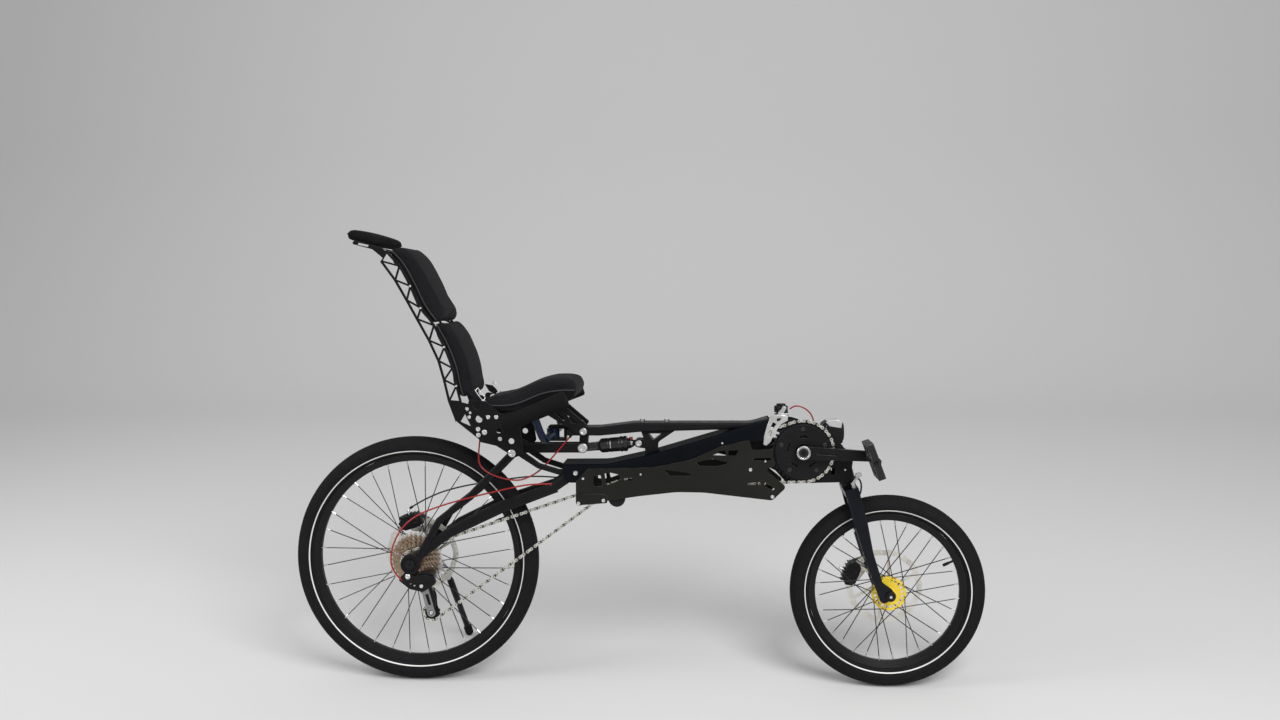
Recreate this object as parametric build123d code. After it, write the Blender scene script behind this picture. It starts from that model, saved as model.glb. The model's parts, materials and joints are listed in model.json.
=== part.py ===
"""Recumbent bicycle with full suspension, parked on its side stand.

Everything is drawn upright, in millimetres, with X forward, Z up, the chain on the -Y side
and the rear tyre's foot at the origin. At the end all of it leans onto the stand together.
A place is (X, Z) where it needs no Y. A table's corners are offsets from the anchor that it
is placed at, as (dx, dz) or (dx, dz, corner radius).
"""
from build123d import *
import math
import os

# Driving sizes
WHEELBASE = 1248.0
REAR_BEAD_R = 279.5
FRONT_BEAD_R = 203.0
TYRE_SECTION_R = 25.0
LEAN_DEG = 9.0
HEAD_TILT_DEG = 15.0
FORK_OFFSET = 25.3
HEAD_ABOVE_TYRE = 46.8
CRANK_BEHIND_HEAD = 122.0
CRANK_ABOVE_HEAD = 91.0
CRANK_LENGTH = 168.0
CRANK_DEG = -3.0
PIVOT_AHEAD = 437.0
PIVOT_ABOVE_AXLE = 240.5

# Fits
RUN_CLEARANCE = 0.05
SEAT_GAP = 0.3
AXLE_R = 6.0

# Anchors
tilt = math.radians(HEAD_TILT_DEG)
REAR_R = REAR_BEAD_R + 2 * TYRE_SECTION_R
FRONT_R = FRONT_BEAD_R + 2 * TYRE_SECTION_R
REAR = (0.0, REAR_R)
FRONT = (WHEELBASE, FRONT_R)
HEAD_DROP = FRONT_R + HEAD_ABOVE_TYRE
HEAD = (FRONT[0] - HEAD_DROP * math.sin(tilt) - FORK_OFFSET * math.cos(tilt),
        FRONT[1] + HEAD_DROP * math.cos(tilt) - FORK_OFFSET * math.sin(tilt))
CRANK = (HEAD[0] - CRANK_BEHIND_HEAD, HEAD[1] + CRANK_ABOVE_HEAD)
PIVOT = (REAR[0] + PIVOT_AHEAD, REAR[1] + PIVOT_ABOVE_AXLE)
# The reach from the swing pivot to the crank that the beams' and side plates' corners are drawn for
SPAN_DRAWN = 586.968
span_share = (CRANK[0] - PIVOT[0]) / SPAN_DRAWN

nodes = {}


# Shapes
def at(anchor, corners):
    """Corners carried to their anchor."""
    return [(anchor[0] + c[0], anchor[1] + c[1], *c[2:]) for c in corners]


def on_span(anchor, corners):
    """Corners of a beam or side plate, which grows longer with the reach from swing pivot to crank."""
    return [(anchor[0] + c[0] * span_share, anchor[1] + c[1], *c[2:]) for c in corners]


def closed_wire(corners):
    """A closed wire through corners, each with an arc of its own radius."""
    count = len(corners)
    turns = []
    for i in range(count):
        here = Vector(corners[i][0], corners[i][1])
        back = Vector(corners[i - 1][0], corners[i - 1][1]) - here
        ahead = Vector(corners[(i + 1) % count][0], corners[(i + 1) % count][1]) - here
        if len(corners[i]) < 3:
            turns.append((here, None, here))
            continue
        half = math.radians(back.get_angle(ahead)) / 2
        reach = min(corners[i][2] / math.tan(half), 0.49 * back.length, 0.49 * ahead.length)
        radius = reach * math.tan(half)
        u, v = back.normalized(), ahead.normalized()
        middle = here + (u + v).normalized() * (radius / math.sin(half) - radius)
        turns.append((here + u * reach, middle, here + v * reach))
    edges = []
    for i in range(count):
        start, middle, end = turns[i]
        if middle is not None:
            edges.append(ThreePointArc(start, middle, end))
        following = turns[(i + 1) % count][0]
        if (following - end).length > 1e-6:
            edges.append(Line(end, following))
    return Wire(edges)


def flat(corners, y_mid, thick, windows=(), holes=()):
    """A plate across Y, with windows given by corners and eight-sided holes as (x, z, radius)."""
    face = Face(closed_wire(corners), [closed_wire(w) for w in windows])
    for x, z, r in holes:
        face -= Pos(x, z) * RegularPolygon(r, 8)
    return Pos(0, y_mid + thick / 2, 0) * extrude(Plane.XZ * face, thick, dir=(0, -1, 0))


def both_sides(make):
    """The same thing made on the right and on the left."""
    return make(-1) + make(1)


def cross_rod(place, y_from, y_to, radius):
    """A round bar parallel to the axles."""
    start = Vector(place[0], min(y_from, y_to), place[1])
    return Plane(origin=start, z_dir=(0, 1, 0)) * Cylinder(
        radius, abs(y_to - y_from), align=(Align.CENTER, Align.CENTER, Align.MIN))


def hex_head(place, y_from, y_to, radius):
    """A six-sided nut or bolt head across the bicycle."""
    face = Pos(place[0], place[1]) * RegularPolygon(radius, 6)
    return Pos(0, max(y_from, y_to), 0) * extrude(Plane.XZ * face, abs(y_to - y_from), dir=(0, -1, 0))


def prism(place, y_from, y_to, radius, sides):
    """A many-sided disc or barrel across the bicycle."""
    face = Pos(place[0], place[1]) * RegularPolygon(radius, sides)
    return Pos(0, y_to, 0) * extrude(Plane.XZ * face, y_to - y_from, dir=(0, -1, 0))


def rod(start, end, radius):
    """A round bar from one point to another."""
    along = Vector(*end) - Vector(*start)
    return Plane(origin=start, z_dir=along) * Cylinder(
        radius, along.length, align=(Align.CENTER, Align.CENTER, Align.MIN))


def bar(start, end, deep, wide):
    """A rectangular bar from one point to another, deep in the plane XZ."""
    along = Vector(*end) - Vector(*start)
    return Plane(origin=start, z_dir=along, x_dir=Vector(0, 1, 0).cross(along)) * Box(
        deep, wide, along.length, align=(Align.CENTER, Align.CENTER, Align.MIN))


def link(start, end, radius, y_mid, thick):
    """A flat strap with round ends."""
    dx, dz = end[0] - start[0], end[1] - start[1]
    face = Pos((start[0] + end[0]) / 2, (start[1] + end[1]) / 2) * Rot(0, 0, math.degrees(math.atan2(dz, dx))) \
        * SlotCenterToCenter(math.hypot(dx, dz), 2 * radius)
    return Pos(0, y_mid + thick / 2, 0) * extrude(Plane.XZ * face, thick, dir=(0, -1, 0))


def pipe(points, radius, bend_r, sides=8):
    """A tube or cable along straight runs joined by arcs."""
    path = FilletPolyline(*points, radius=bend_r)
    start = Plane(origin=path @ 0, z_dir=path % 0)
    return sweep(start * RegularPolygon(radius, sides), path=path)


def turned(profile, axle):
    """A ring or disc from (radius, y) points, turned about an axle."""
    body = revolve(Plane.XY * Polygon(*profile, align=None), Axis.Y, 360)
    return Pos(axle[0], 0, axle[1]) * body


def ring(r_in, r_out, y_from, y_to, axle):
    return turned([(r_in, y_from), (r_out, y_from), (r_out, y_to), (r_in, y_to)], axle)


def polar(centre, radius, degrees):
    a = math.radians(degrees)
    return (centre[0] + radius * math.cos(a), centre[1] + radius * math.sin(a))


def star(centre, points):
    """Corners round a centre from (radius, degrees) pairs."""
    return [polar(centre, r, deg) for r, deg in points]


def sector(centre, r_in, r_out, deg_from, deg_to, steps):
    """Corners of a curved band round a centre."""
    angles = [deg_from + (deg_to - deg_from) * i / steps for i in range(steps + 1)]
    return [polar(centre, r_out, a) for a in angles] + [polar(centre, r_in, a) for a in reversed(angles)]


def shifted(line, by):
    """An open line of places moved sideways, to its right where by is positive."""
    moved = []
    for i, (x, z) in enumerate(line):
        x0, z0 = line[max(i - 1, 0)]
        x1, z1 = line[min(i + 1, len(line) - 1)]
        length = math.hypot(x1 - x0, z1 - z0)
        moved.append((x + by * (z1 - z0) / length, z - by * (x1 - x0) / length))
    return moved


def inset(triangle, by):
    """A triangle drawn in from its edges."""
    a, b, c = [Vector(*p) for p in triangle]
    area = (b - a).cross(c - a).Z
    corners = []
    for p, q, r in ((c, a, b), (a, b, c), (b, c, a)):
        u, v = (p - q).normalized(), (r - q).normalized()
        half = math.radians((p - q).get_angle(r - q)) / 2
        inner = q + (u + v).normalized() * (by / math.sin(half))
        corners.append((inner.X, inner.Y))
    return corners if area > 0 else corners[::-1]


def rounded_top(body, half_wide, radius):
    """Round the long upper edges of a beam."""
    long_edges = []
    for face in body.faces():
        if face.normal_at().Z > 0.7:
            long_edges += [e for e in face.edges() if min(abs(v.Y) for v in (e @ 0, e @ 1)) > half_wide - 0.01
                           and abs((e @ 0).Y - (e @ 1).Y) < 0.01]
    return fillet(long_edges, radius)


# Wheels
WHEEL_STAND_IN_R = 1.5
BEAD_HALF_WIDE = 11.5
TREAD_ROWS = ((1.0, LEAN_DEG), (1.02, 50.0), (1.02, 105.0))
RIM_HALF_WIDE = 12.5
RIM_DEEP = 17.5
RIM_INNER_HALF = 5.0
SPOKE_WIDE = 1.8
SPOKES_A_SIDE = 16
SPOKE_LEAD_DEG = 62.0
SPOKE_PULL_Y = 3.0
HUB_R = 16.0
BARREL_SIDES = 16
FLANGE_SIDES = 24
FLANGE_THICK = 3.0
NARROW_FLANGE_R = 30.0
# Wheel rows: bead radius, axle, hub half width, (y, radius) of the right and the left flange
WHEELS = {
    "rear": (REAR_BEAD_R, REAR, 61.7, ((-9.5, NARROW_FLANGE_R), (27.5, NARROW_FLANGE_R))),
    "front": (FRONT_BEAD_R, FRONT, 49.7, ((-30.0, 45.0), (28.0, NARROW_FLANGE_R))),
}


def tyre(bead_r, axle):
    """The tyre's section has a flat crown as wide as the lean, so it stands on its edge."""
    middle = bead_r + TYRE_SECTION_R
    half = []
    for grow, degrees in TREAD_ROWS:
        half.append(polar((middle, 0.0), TYRE_SECTION_R * grow, degrees))
    half.append((bead_r + WHEEL_STAND_IN_R, BEAD_HALF_WIDE))
    return turned(half + [(r, -y) for r, y in reversed(half)], axle)


def rim(bead_r, axle):
    outer = bead_r + WHEEL_STAND_IN_R
    half = [(outer, RIM_HALF_WIDE), (outer - RIM_DEEP, RIM_INNER_HALF)]
    return turned(half + [(r, -y) for r, y in reversed(half)], axle)


def hub(bead_r, axle, half_wide, flanges):
    """A hub shell with its flanges and all its laced spokes."""
    body = prism(axle, -half_wide, half_wide, HUB_R, BARREL_SIDES)
    for y, flange_r in flanges:
        body += prism(axle, y - FLANGE_THICK / 2, y + FLANGE_THICK / 2, flange_r, FLANGE_SIDES)
    body -= cross_rod(axle, -half_wide, half_wide, AXLE_R + RUN_CLEARANCE)
    rim_r = bead_r + WHEEL_STAND_IN_R - RIM_DEEP - SEAT_GAP
    laced = []
    for side, (y, flange_r) in zip((-1, 1), flanges):
        for i in range(SPOKES_A_SIDE):
            lead = 1 if i % 2 else -1
            rim_deg = (i + 0.25 * side) * 360.0 / SPOKES_A_SIDE
            x0, z0 = polar(axle, flange_r - 3.0, rim_deg + lead * SPOKE_LEAD_DEG)
            x1, z1 = polar(axle, rim_r, rim_deg)
            laced.append(bar((x0, y + lead, z0), (x1, side * SPOKE_PULL_Y, z1), SPOKE_WIDE, SPOKE_WIDE))
    return body.fuse(*laced)


# Disc brakes
ROTOR_R = 100.0
ROTOR_BAND = 15.0
ROTOR_THICK = 2.0
ROTOR_WAVES = 20
ROTOR_ARMS = 6
REAR_ROTOR_Y = 46.0
FRONT_ROTOR_Y = 41.0


def rotor(axle, y_mid):
    """A wavy braking band, slanted arms and the carrier round the hub."""
    step = 180.0 / ROTOR_WAVES
    outside = star(axle, [(ROTOR_R - (2.5 if i % 2 else 0.0), i * step) for i in range(2 * ROTOR_WAVES)])
    inside = star(axle, [(ROTOR_R - ROTOR_BAND - (2.0 if i % 2 else 0.0), i * step) for i in range(2 * ROTOR_WAVES)])
    body = flat(outside, y_mid, ROTOR_THICK, windows=[inside])
    arm_step = 360.0 / ROTOR_ARMS
    for i in range(ROTOR_ARMS):
        x0, z0 = polar(axle, HUB_R + 10.0, i * arm_step)
        x1, z1 = polar(axle, ROTOR_R - ROTOR_BAND + 2.0, i * arm_step + 22.0)
        body += bar((x0, y_mid, z0), (x1, y_mid, z1), 7.0, ROTOR_THICK)
    return body + ring(HUB_R, HUB_R + 14.0, y_mid - ROTOR_THICK / 2, y_mid + ROTOR_THICK / 2, axle)


for name, (bead_r, axle, half_wide, flanges) in WHEELS.items():
    nodes[name + "_tyre"] = tyre(bead_r, axle)
    nodes[name + "_rim"] = rim(bead_r, axle)
    nodes[name + "_hub"] = hub(bead_r, axle, half_wide, flanges)
nodes["rear_rotor"] = rotor(REAR, REAR_ROTOR_Y)
nodes["front_rotor"] = rotor(FRONT, FRONT_ROTOR_Y)

REAR_DROPOUT_Y = (62.0, 74.0)
FRONT_DROPOUT_Y = (50.0, 58.0)
AXLE_HEAD_LONG = 7.0
AXLE_HEAD_R = 10.0


def axle_bolt(axle, dropout_y):
    outer = dropout_y[1]
    body = cross_rod(axle, -outer, outer, AXLE_R)
    for side in (-1, 1):
        body += hex_head(axle, side * outer, side * (outer + AXLE_HEAD_LONG), AXLE_HEAD_R)
    return body


nodes["rear_axle"] = axle_bolt(REAR, REAR_DROPOUT_Y)
nodes["front_axle"] = axle_bolt(FRONT, FRONT_DROPOUT_Y)

# Cassette and chain
CHAIN_PITCH = 12.7
CHAIN_Y = -48.0
CHAINRING_TEETH = 39
SPROCKET_PITCH = 5.0
SPROCKET_TEETH = (36, 32, 28, 24, 21, 18, 15, 12)
RUNNING_SPROCKET = 6
SPROCKET_THICK = 1.8
TOOTH_TIP = 3.0
TOOTH_ROOT = 2.0


def tooth_radius(teeth):
    return teeth * CHAIN_PITCH / (2 * math.pi)


def toothed(centre, teeth, tip=TOOTH_TIP):
    """Corners of a toothed wheel, a tip and a root for each tooth."""
    pitch_r = tooth_radius(teeth)
    step = 180.0 / teeth
    return star(centre, [(pitch_r + (tip if i % 2 else -TOOTH_ROOT), i * step) for i in range(2 * teeth)])


def sprocket_y(i):
    return CHAIN_Y + (RUNNING_SPROCKET - i) * SPROCKET_PITCH


def cassette():
    """Eight toothed sprockets on an eight-sided carrier."""
    bore = star(REAR, [(HUB_R + 1.6, i * 45.0) for i in range(8)])
    carrier = star(REAR, [(HUB_R + 5.0, i * 45.0) for i in range(8)])
    y_from, y_to = sprocket_y(len(SPROCKET_TEETH) - 1) - 2.0, sprocket_y(0) + SPROCKET_THICK / 2
    body = flat(carrier, (y_from + y_to) / 2, y_to - y_from, windows=[bore])
    for i, teeth in enumerate(SPROCKET_TEETH):
        body += flat(toothed(REAR, teeth, 1.5), sprocket_y(i), SPROCKET_THICK, windows=[bore])
    return body


nodes["cassette"] = cassette()

PULLEY_TEETH = 11
IDLER_TEETH = 13
GUIDE_PULLEY = at(REAR, [(30.0, -61.5)])[0]
TENSION_PULLEY = at(REAR, [(49.0, -133.5)])[0]
RETURN_IDLER = at(PIVOT, [(107.0, -67.0)])[0]
# Chain route rows: centre, teeth, sense (1 turns left, -1 turns right)
CHAIN_ROUTE = (
    (CRANK, CHAINRING_TEETH, 1),
    (REAR, SPROCKET_TEETH[RUNNING_SPROCKET], 1),
    (GUIDE_PULLEY, PULLEY_TEETH, -1),
    (TENSION_PULLEY, PULLEY_TEETH, 1),
    (RETURN_IDLER, IDLER_TEETH, -1),
)
CHAIN_HALF_DEEP = 4.0
INNER_PLATE_Y = (1.5, 2.7)
OUTER_PLATE_Y = (2.7, 3.5)
OUTER_PLATE_LONG = CHAIN_PITCH + 6.0
OUTER_PLATE_DEEP = 9.0


def tangent(a, b):
    """Where the chain leaves one wheel and meets the next."""
    (c1, t1, s1), (c2, t2, s2) = a, b
    r1, r2 = tooth_radius(t1), tooth_radius(t2)
    dx, dz = c2[0] - c1[0], c2[1] - c1[1]
    heading = math.atan2(dz, dx) + math.asin((s1 * r1 - s2 * r2) / math.hypot(dx, dz))
    normal = (math.sin(heading), -math.cos(heading))
    return ((c1[0] + s1 * r1 * normal[0], c1[1] + s1 * r1 * normal[1]),
            (c2[0] + s2 * r2 * normal[0], c2[1] + s2 * r2 * normal[1]))


def chain_pins():
    """Every pin of the closed chain, evenly spaced along its route."""
    count = len(CHAIN_ROUTE)
    runs = [tangent(CHAIN_ROUTE[i], CHAIN_ROUTE[(i + 1) % count]) for i in range(count)]
    pieces = []
    for i, (centre, teeth, sense) in enumerate(CHAIN_ROUTE):
        met, left = runs[i - 1][1], runs[i][0]
        a0 = math.atan2(met[1] - centre[1], met[0] - centre[0])
        a1 = math.atan2(left[1] - centre[1], left[0] - centre[0])
        sweep_angle = (sense * (a1 - a0)) % (2 * math.pi)
        radius = tooth_radius(teeth)
        pieces.append((radius * sweep_angle, "arc", (centre, radius, a0, sense)))
        run = runs[i]
        pieces.append((math.dist(run[0], run[1]), "line", run))
    total = sum(p[0] for p in pieces)
    links = 2 * round(total / CHAIN_PITCH / 2)
    pins = []
    for k in range(links):
        s = total * k / links
        for length, kind, data in pieces:
            if s <= length:
                break
            s -= length
        if kind == "arc":
            centre, radius, a0, sense = data
            pins.append(polar(centre, radius, math.degrees(a0 + sense * s / radius)))
        else:
            (x0, z0), (x1, z1) = data
            pins.append((x0 + (x1 - x0) * s / length, z0 + (z1 - z0) * s / length))
    return pins


def chain_outline(pins, offset):
    """The loop of pins moved outwards, without the pins that lie in line."""
    corners = []
    count = len(pins)
    for i, (x, z) in enumerate(pins):
        x0, z0 = pins[i - 1]
        x1, z1 = pins[(i + 1) % count]
        a = math.atan2(z - z0, x - x0)
        b = math.atan2(z1 - z, x1 - x)
        turn = (b - a + math.pi) % (2 * math.pi) - math.pi
        if abs(turn) > 1e-3:
            reach = offset / math.cos(turn / 2)
            corners.append((x + reach * math.sin(a + turn / 2), z - reach * math.cos(a + turn / 2)))
    return corners


def chain():
    """Two loops of inner plates, with the outer plates where the chain is open to view."""
    pins = chain_pins()
    outside, inside = chain_outline(pins, CHAIN_HALF_DEEP), chain_outline(pins, -CHAIN_HALF_DEEP)
    plates = []
    for side in (-1, 1):
        y0, y1 = INNER_PLATE_Y
        plates.append(flat(outside, CHAIN_Y + side * (y0 + y1) / 2, y1 - y0, windows=[inside]))
        y0, y1 = OUTER_PLATE_Y
        y_mid = CHAIN_Y + side * (y0 + y1) / 2
        for (x0, z0), (x1, z1) in zip(pins[0::2], pins[1::2]):
            behind_shell = PIVOT[0] < x0 < CRANK[0] - tooth_radius(CHAINRING_TEETH)
            if behind_shell:
                continue
            grow = (OUTER_PLATE_LONG / math.dist((x0, z0), (x1, z1)) - 1) / 2
            start = (x0 - grow * (x1 - x0), y_mid, z0 - grow * (z1 - z0))
            end = (x1 + grow * (x1 - x0), y_mid, z1 + grow * (z1 - z0))
            plates.append(bar(start, end, OUTER_PLATE_DEEP, y1 - y0))
    return Compound(children=plates)


nodes["chain"] = chain()

# Crank set
SPINDLE_R = 12.0
CHAINRING_HOLE_R = 40.0
SPIDER_DEG = tuple(range(18, 378, 72))
GUARD_R = 70.0
GUARD_Y = (-58.0, -55.0)
CRANK_INNER_Y = 65.0
CRANK_THICK = 12.0
CRANK_ROOT_R = 17.0
CRANK_TIP_R = 13.0
PEDAL_AXLE_R = 7.0
PEDAL_LONG = 92.0
PEDAL_WIDE = 84.0
PEDAL_DEEP = 18.0
PEDAL_RAIL = 10.0
PEDAL_GAP_Y = 7.0
PEDAL_DEG = 70.0
pedal_y = CRANK_INNER_Y + CRANK_THICK + PEDAL_GAP_Y + PEDAL_WIDE / 2
half_ring = SPROCKET_THICK / 2
spider = flat(star(CRANK, [(SPINDLE_R + 6.0, i * 45.0) for i in range(8)]), CHAIN_Y, 6.0)
for degrees in SPIDER_DEG:
    x, z = polar(CRANK, CHAINRING_HOLE_R + 20.0, degrees)
    spider += bar((CRANK[0], CHAIN_Y, CRANK[1]), (x, CHAIN_Y, z), 14.0, SPROCKET_THICK)
ring_hole = star(CRANK, [(CHAINRING_HOLE_R + 12.0, i * 18.0) for i in range(20)])
nodes["chainring"] = (flat(toothed(CRANK, CHAINRING_TEETH), CHAIN_Y, SPROCKET_THICK, windows=[ring_hole])
                      + spider - cross_rod(CRANK, CHAIN_Y - 9.0, CHAIN_Y + 9.0, SPINDLE_R))
guard_mid = (GUARD_Y[0] + GUARD_Y[1]) / 2
guard_slots = [sector(CRANK, 36.0, 43.0, deg - 15.0, deg + 15.0, 3) for deg in SPIDER_DEG[1:]]
guard_edge = [(GUARD_R, i * 6.0) for i in range(60)]
guard = flat(star(CRANK, guard_edge), guard_mid, GUARD_Y[1] - GUARD_Y[0],
             windows=[star(CRANK, [(SPINDLE_R + 8.0, i * 30.0) for i in range(12)])] + guard_slots)
for degrees in SPIDER_DEG:
    guard += hex_head(polar(CRANK, CHAINRING_HOLE_R + 18.0, degrees), GUARD_Y[1], CHAIN_Y - half_ring, 5.0)
nodes["chain_guard"] = guard


def crank_end(side):
    return polar(CRANK, CRANK_LENGTH, CRANK_DEG if side < 0 else CRANK_DEG + 180.0)


def crank(side):
    """A tapered arm with a pocket along it and the pedal's axle at its end."""
    y_in, y_out = side * CRANK_INNER_Y, side * (CRANK_INNER_Y + CRANK_THICK)
    y_mid = (y_in + y_out) / 2
    heading = CRANK_DEG if side < 0 else CRANK_DEG + 180.0
    end = crank_end(side)
    arm = flat([polar(CRANK, CRANK_ROOT_R, heading + 85.0), polar(end, CRANK_TIP_R, heading + 88.0),
                polar(end, CRANK_TIP_R, heading - 88.0), polar(CRANK, CRANK_ROOT_R, heading - 85.0)],
               y_mid, CRANK_THICK)
    arm += cross_rod(CRANK, y_in, y_out, CRANK_ROOT_R) + cross_rod(end, y_in, y_out, CRANK_TIP_R)
    pocket = link(polar(CRANK, 36.0, heading), polar(CRANK, 84.0, heading), 3.0, y_out, 6.0)
    reach = side * (pedal_y + PEDAL_WIDE / 2 + 2.0)
    return arm - pocket + cross_rod(end, y_out, reach, PEDAL_AXLE_R)


def pedal(side):
    """A flat cage of four rails round a bearing tube."""
    end = crank_end(side)
    window = (PEDAL_LONG - 2 * PEDAL_RAIL, PEDAL_WIDE - 2 * PEDAL_RAIL)
    cage = Box(PEDAL_LONG, PEDAL_WIDE, PEDAL_DEEP) - Box(*window, 2 * PEDAL_DEEP)
    tube = Plane(origin=(0, -PEDAL_WIDE / 2, 0), z_dir=(0, 1, 0)) * extrude(RegularPolygon(13.0, 8), PEDAL_WIDE)
    bore = Plane(origin=(0, -PEDAL_WIDE, 0), z_dir=(0, 1, 0)) * Cylinder(
        PEDAL_AXLE_R + RUN_CLEARANCE, 2 * PEDAL_WIDE, align=(Align.CENTER, Align.CENTER, Align.MIN))
    cage += Box(PEDAL_LONG, PEDAL_RAIL, PEDAL_DEEP) + tube
    return Pos(end[0], side * pedal_y, end[1]) * Rot(0, PEDAL_DEG, 0) * (cage - bore)


nodes["cranks"] = both_sides(crank) + cross_rod(CRANK, -CRANK_INNER_Y, CRANK_INNER_Y, SPINDLE_R)
nodes["pedal_right"] = pedal(-1)
nodes["pedal_left"] = pedal(1)


# Fork
STEERER_R = 14.0
HEAD_TUBE_R = 21.0
HEAD_TUBE_UP = (4.0, 78.0)
CROWN_UP = (-24.0, -6.0)
CROWN_DEEP = 36.0
LEG_Y = 52.0
LEG_THICK = 12.0
LEG_BEVEL = 3.5
# Leg corners from the steering axis and up it: (ahead, up, corner radius)
LEG_OUTLINE = ((-17.0, -6.0, 6.0), (18.0, -6.0, 6.0), (18.0, -100.0, 80.0), (12.0, -180.0, 80.0),
               (15.0, -262.0, 12.0), (34.0, -284.0, 10.0), (40.0, -306.0, 10.0), (-2.0, -318.0, 12.0),
               (-12.0, -200.0, 80.0), (-17.0, -80.0, 60.0))


def on_head(up, ahead=0.0, y=0.0):
    """A point up the steering axis from the head's foot, and ahead of it."""
    return (HEAD[0] - up * math.sin(tilt) + ahead * math.cos(tilt), y,
            HEAD[1] + up * math.cos(tilt) + ahead * math.sin(tilt))


def fork_leg(side):
    """A flattened leg whose foot hooks forward to the axle."""
    drop = -HEAD_DROP / 299.8
    corners = []
    for ahead, up, radius in LEG_OUTLINE:
        x, _, z = on_head(up if up > -20.0 else -up * drop, ahead)
        corners.append((x, z, radius))
    leg = flat(corners, side * LEG_Y, LEG_THICK)
    faces = leg.faces().sort_by(Axis.Y)
    leg = chamfer(faces[-1 if side > 0 else 0].edges(), LEG_BEVEL)
    tab = cross_rod(FRONT, side * FRONT_DROPOUT_Y[0], side * FRONT_DROPOUT_Y[1], 14.0)
    return leg + tab - cross_rod(FRONT, -FRONT_DROPOUT_Y[1], FRONT_DROPOUT_Y[1], AXLE_R) \
        - cross_rod(FRONT, -FRONT_DROPOUT_Y[0], FRONT_DROPOUT_Y[0], HUB_R + 4.0)


crown = bar(on_head(CROWN_UP[0]), on_head(CROWN_UP[1]), CROWN_DEEP, 2 * LEG_Y + LEG_THICK)
race = rod(on_head(CROWN_UP[1]), on_head(HEAD_TUBE_UP[0] - SEAT_GAP), HEAD_TUBE_R - 2.0)
cap = rod(on_head(HEAD_TUBE_UP[1] + SEAT_GAP), on_head(HEAD_TUBE_UP[1] + 6.0), HEAD_TUBE_R - 2.0)
nodes["fork"] = both_sides(fork_leg) + crown + race + cap + rod(
    on_head(CROWN_UP[0]), on_head(HEAD_TUBE_UP[1] + 6.0), STEERER_R)
ARM_Y = -46.0
nodes["steering_arm"] = (bar(on_head(CROWN_UP[1], 8.0, ARM_Y), on_head(8.0, 8.0, ARM_Y), 8.0, 8.0)
                         + bar(on_head(4.0, 4.0, ARM_Y), on_head(24.0, 30.0, ARM_Y), 6.0, 8.0)
                         + cross_rod((on_head(24.0, 30.0)[0], on_head(24.0, 30.0)[2]), ARM_Y - 5.0, ARM_Y + 5.0, 6.0))


# Calipers
def caliper(axle, y_mid, degrees, reach_y):
    """Two halves that straddle the rotor, a bridge outside it and the lug that carries them."""
    body = flat(sector(axle, ROTOR_R - 24.0, ROTOR_R + 16.0, degrees - 20.0, degrees + 20.0, 4), y_mid, 24.0)
    body -= flat(sector(axle, ROTOR_R - 40.0, ROTOR_R + 3.0, degrees - 30.0, degrees + 30.0, 4), y_mid, 4.0)
    for turn in (-14.0, 14.0):
        body += hex_head(polar(axle, ROTOR_R + 6.0, degrees + turn), y_mid + 12.0, reach_y, 5.0)
    return body


FRONT_CALIPER_DEG = 158.0
REAR_CALIPER_DEG = 108.0
front_bracket = flat([polar(FRONT, ROTOR_R + 12.0, 172.0), polar(FRONT, ROTOR_R + 12.0, 144.0),
                      polar(FRONT, ROTOR_R - 8.0, 118.0), polar(FRONT, ROTOR_R - 36.0, 122.0),
                      polar(FRONT, ROTOR_R - 34.0, 172.0)], 56.0, 4.0)
nodes["front_caliper"] = caliper(FRONT, FRONT_ROTOR_Y, FRONT_CALIPER_DEG, 54.0) + front_bracket \
    - nodes["fork"]
rear_bracket = flat([polar(REAR, ROTOR_R + 12.0, 124.0), polar(REAR, ROTOR_R + 12.0, 92.0),
                     polar(REAR, ROTOR_R - 8.0, 62.0), polar(REAR, ROTOR_R - 38.0, 62.0),
                     polar(REAR, ROTOR_R - 34.0, 118.0)], 60.0, 4.0)
rear_caliper = caliper(REAR, REAR_ROTOR_Y, REAR_CALIPER_DEG, 60.0) + rear_bracket

# Frame
BEAM_HALF_WIDE = 56.0
BEAM_WALL = 3.0
BEAM_ROUND = 10.0
SHELL_THICK = 4.0
CAGE_CLEAR_R = 101.0
GUARD_CLEAR_R = GUARD_R + 7.0
BEAM_TOP_REAR = ((-35.0, 22.0), (83.0, 23.0, 150.0), (203.0, 50.0, 250.0))
BEAM_TOP_FRONT = ((-84.0, 82.0),)
BEAM_LOW_FRONT = ((-84.0, 30.0), (-150.0, 24.0, 80.0))
BEAM_LOW_REAR = ((300.0, 24.0, 200.0), (150.0, 8.0, 100.0), (45.0, 8.0, 20.0), (34.0, -24.0, 14.0),
                 (-26.0, -26.0, 20.0))
PIVOT_BOLT_R = 8.0


def beam_shape(lowered, half_wide, ends):
    """The beam's upper side carried down by a wall, longer than the beam where it is the hollow."""
    top = on_span(PIVOT, [(dx, dz - lowered, *r) for dx, dz, *r in BEAM_TOP_REAR])
    front = on_span(CRANK, [(dx, dz - lowered, *r) for dx, dz, *r in BEAM_TOP_FRONT])
    if not ends:
        return top, front
    low = on_span(CRANK, BEAM_LOW_FRONT) + on_span(PIVOT, BEAM_LOW_REAR)
    return rounded_top(flat(top + front + low, 0.0, 2 * half_wide), half_wide, BEAM_ROUND)


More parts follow.
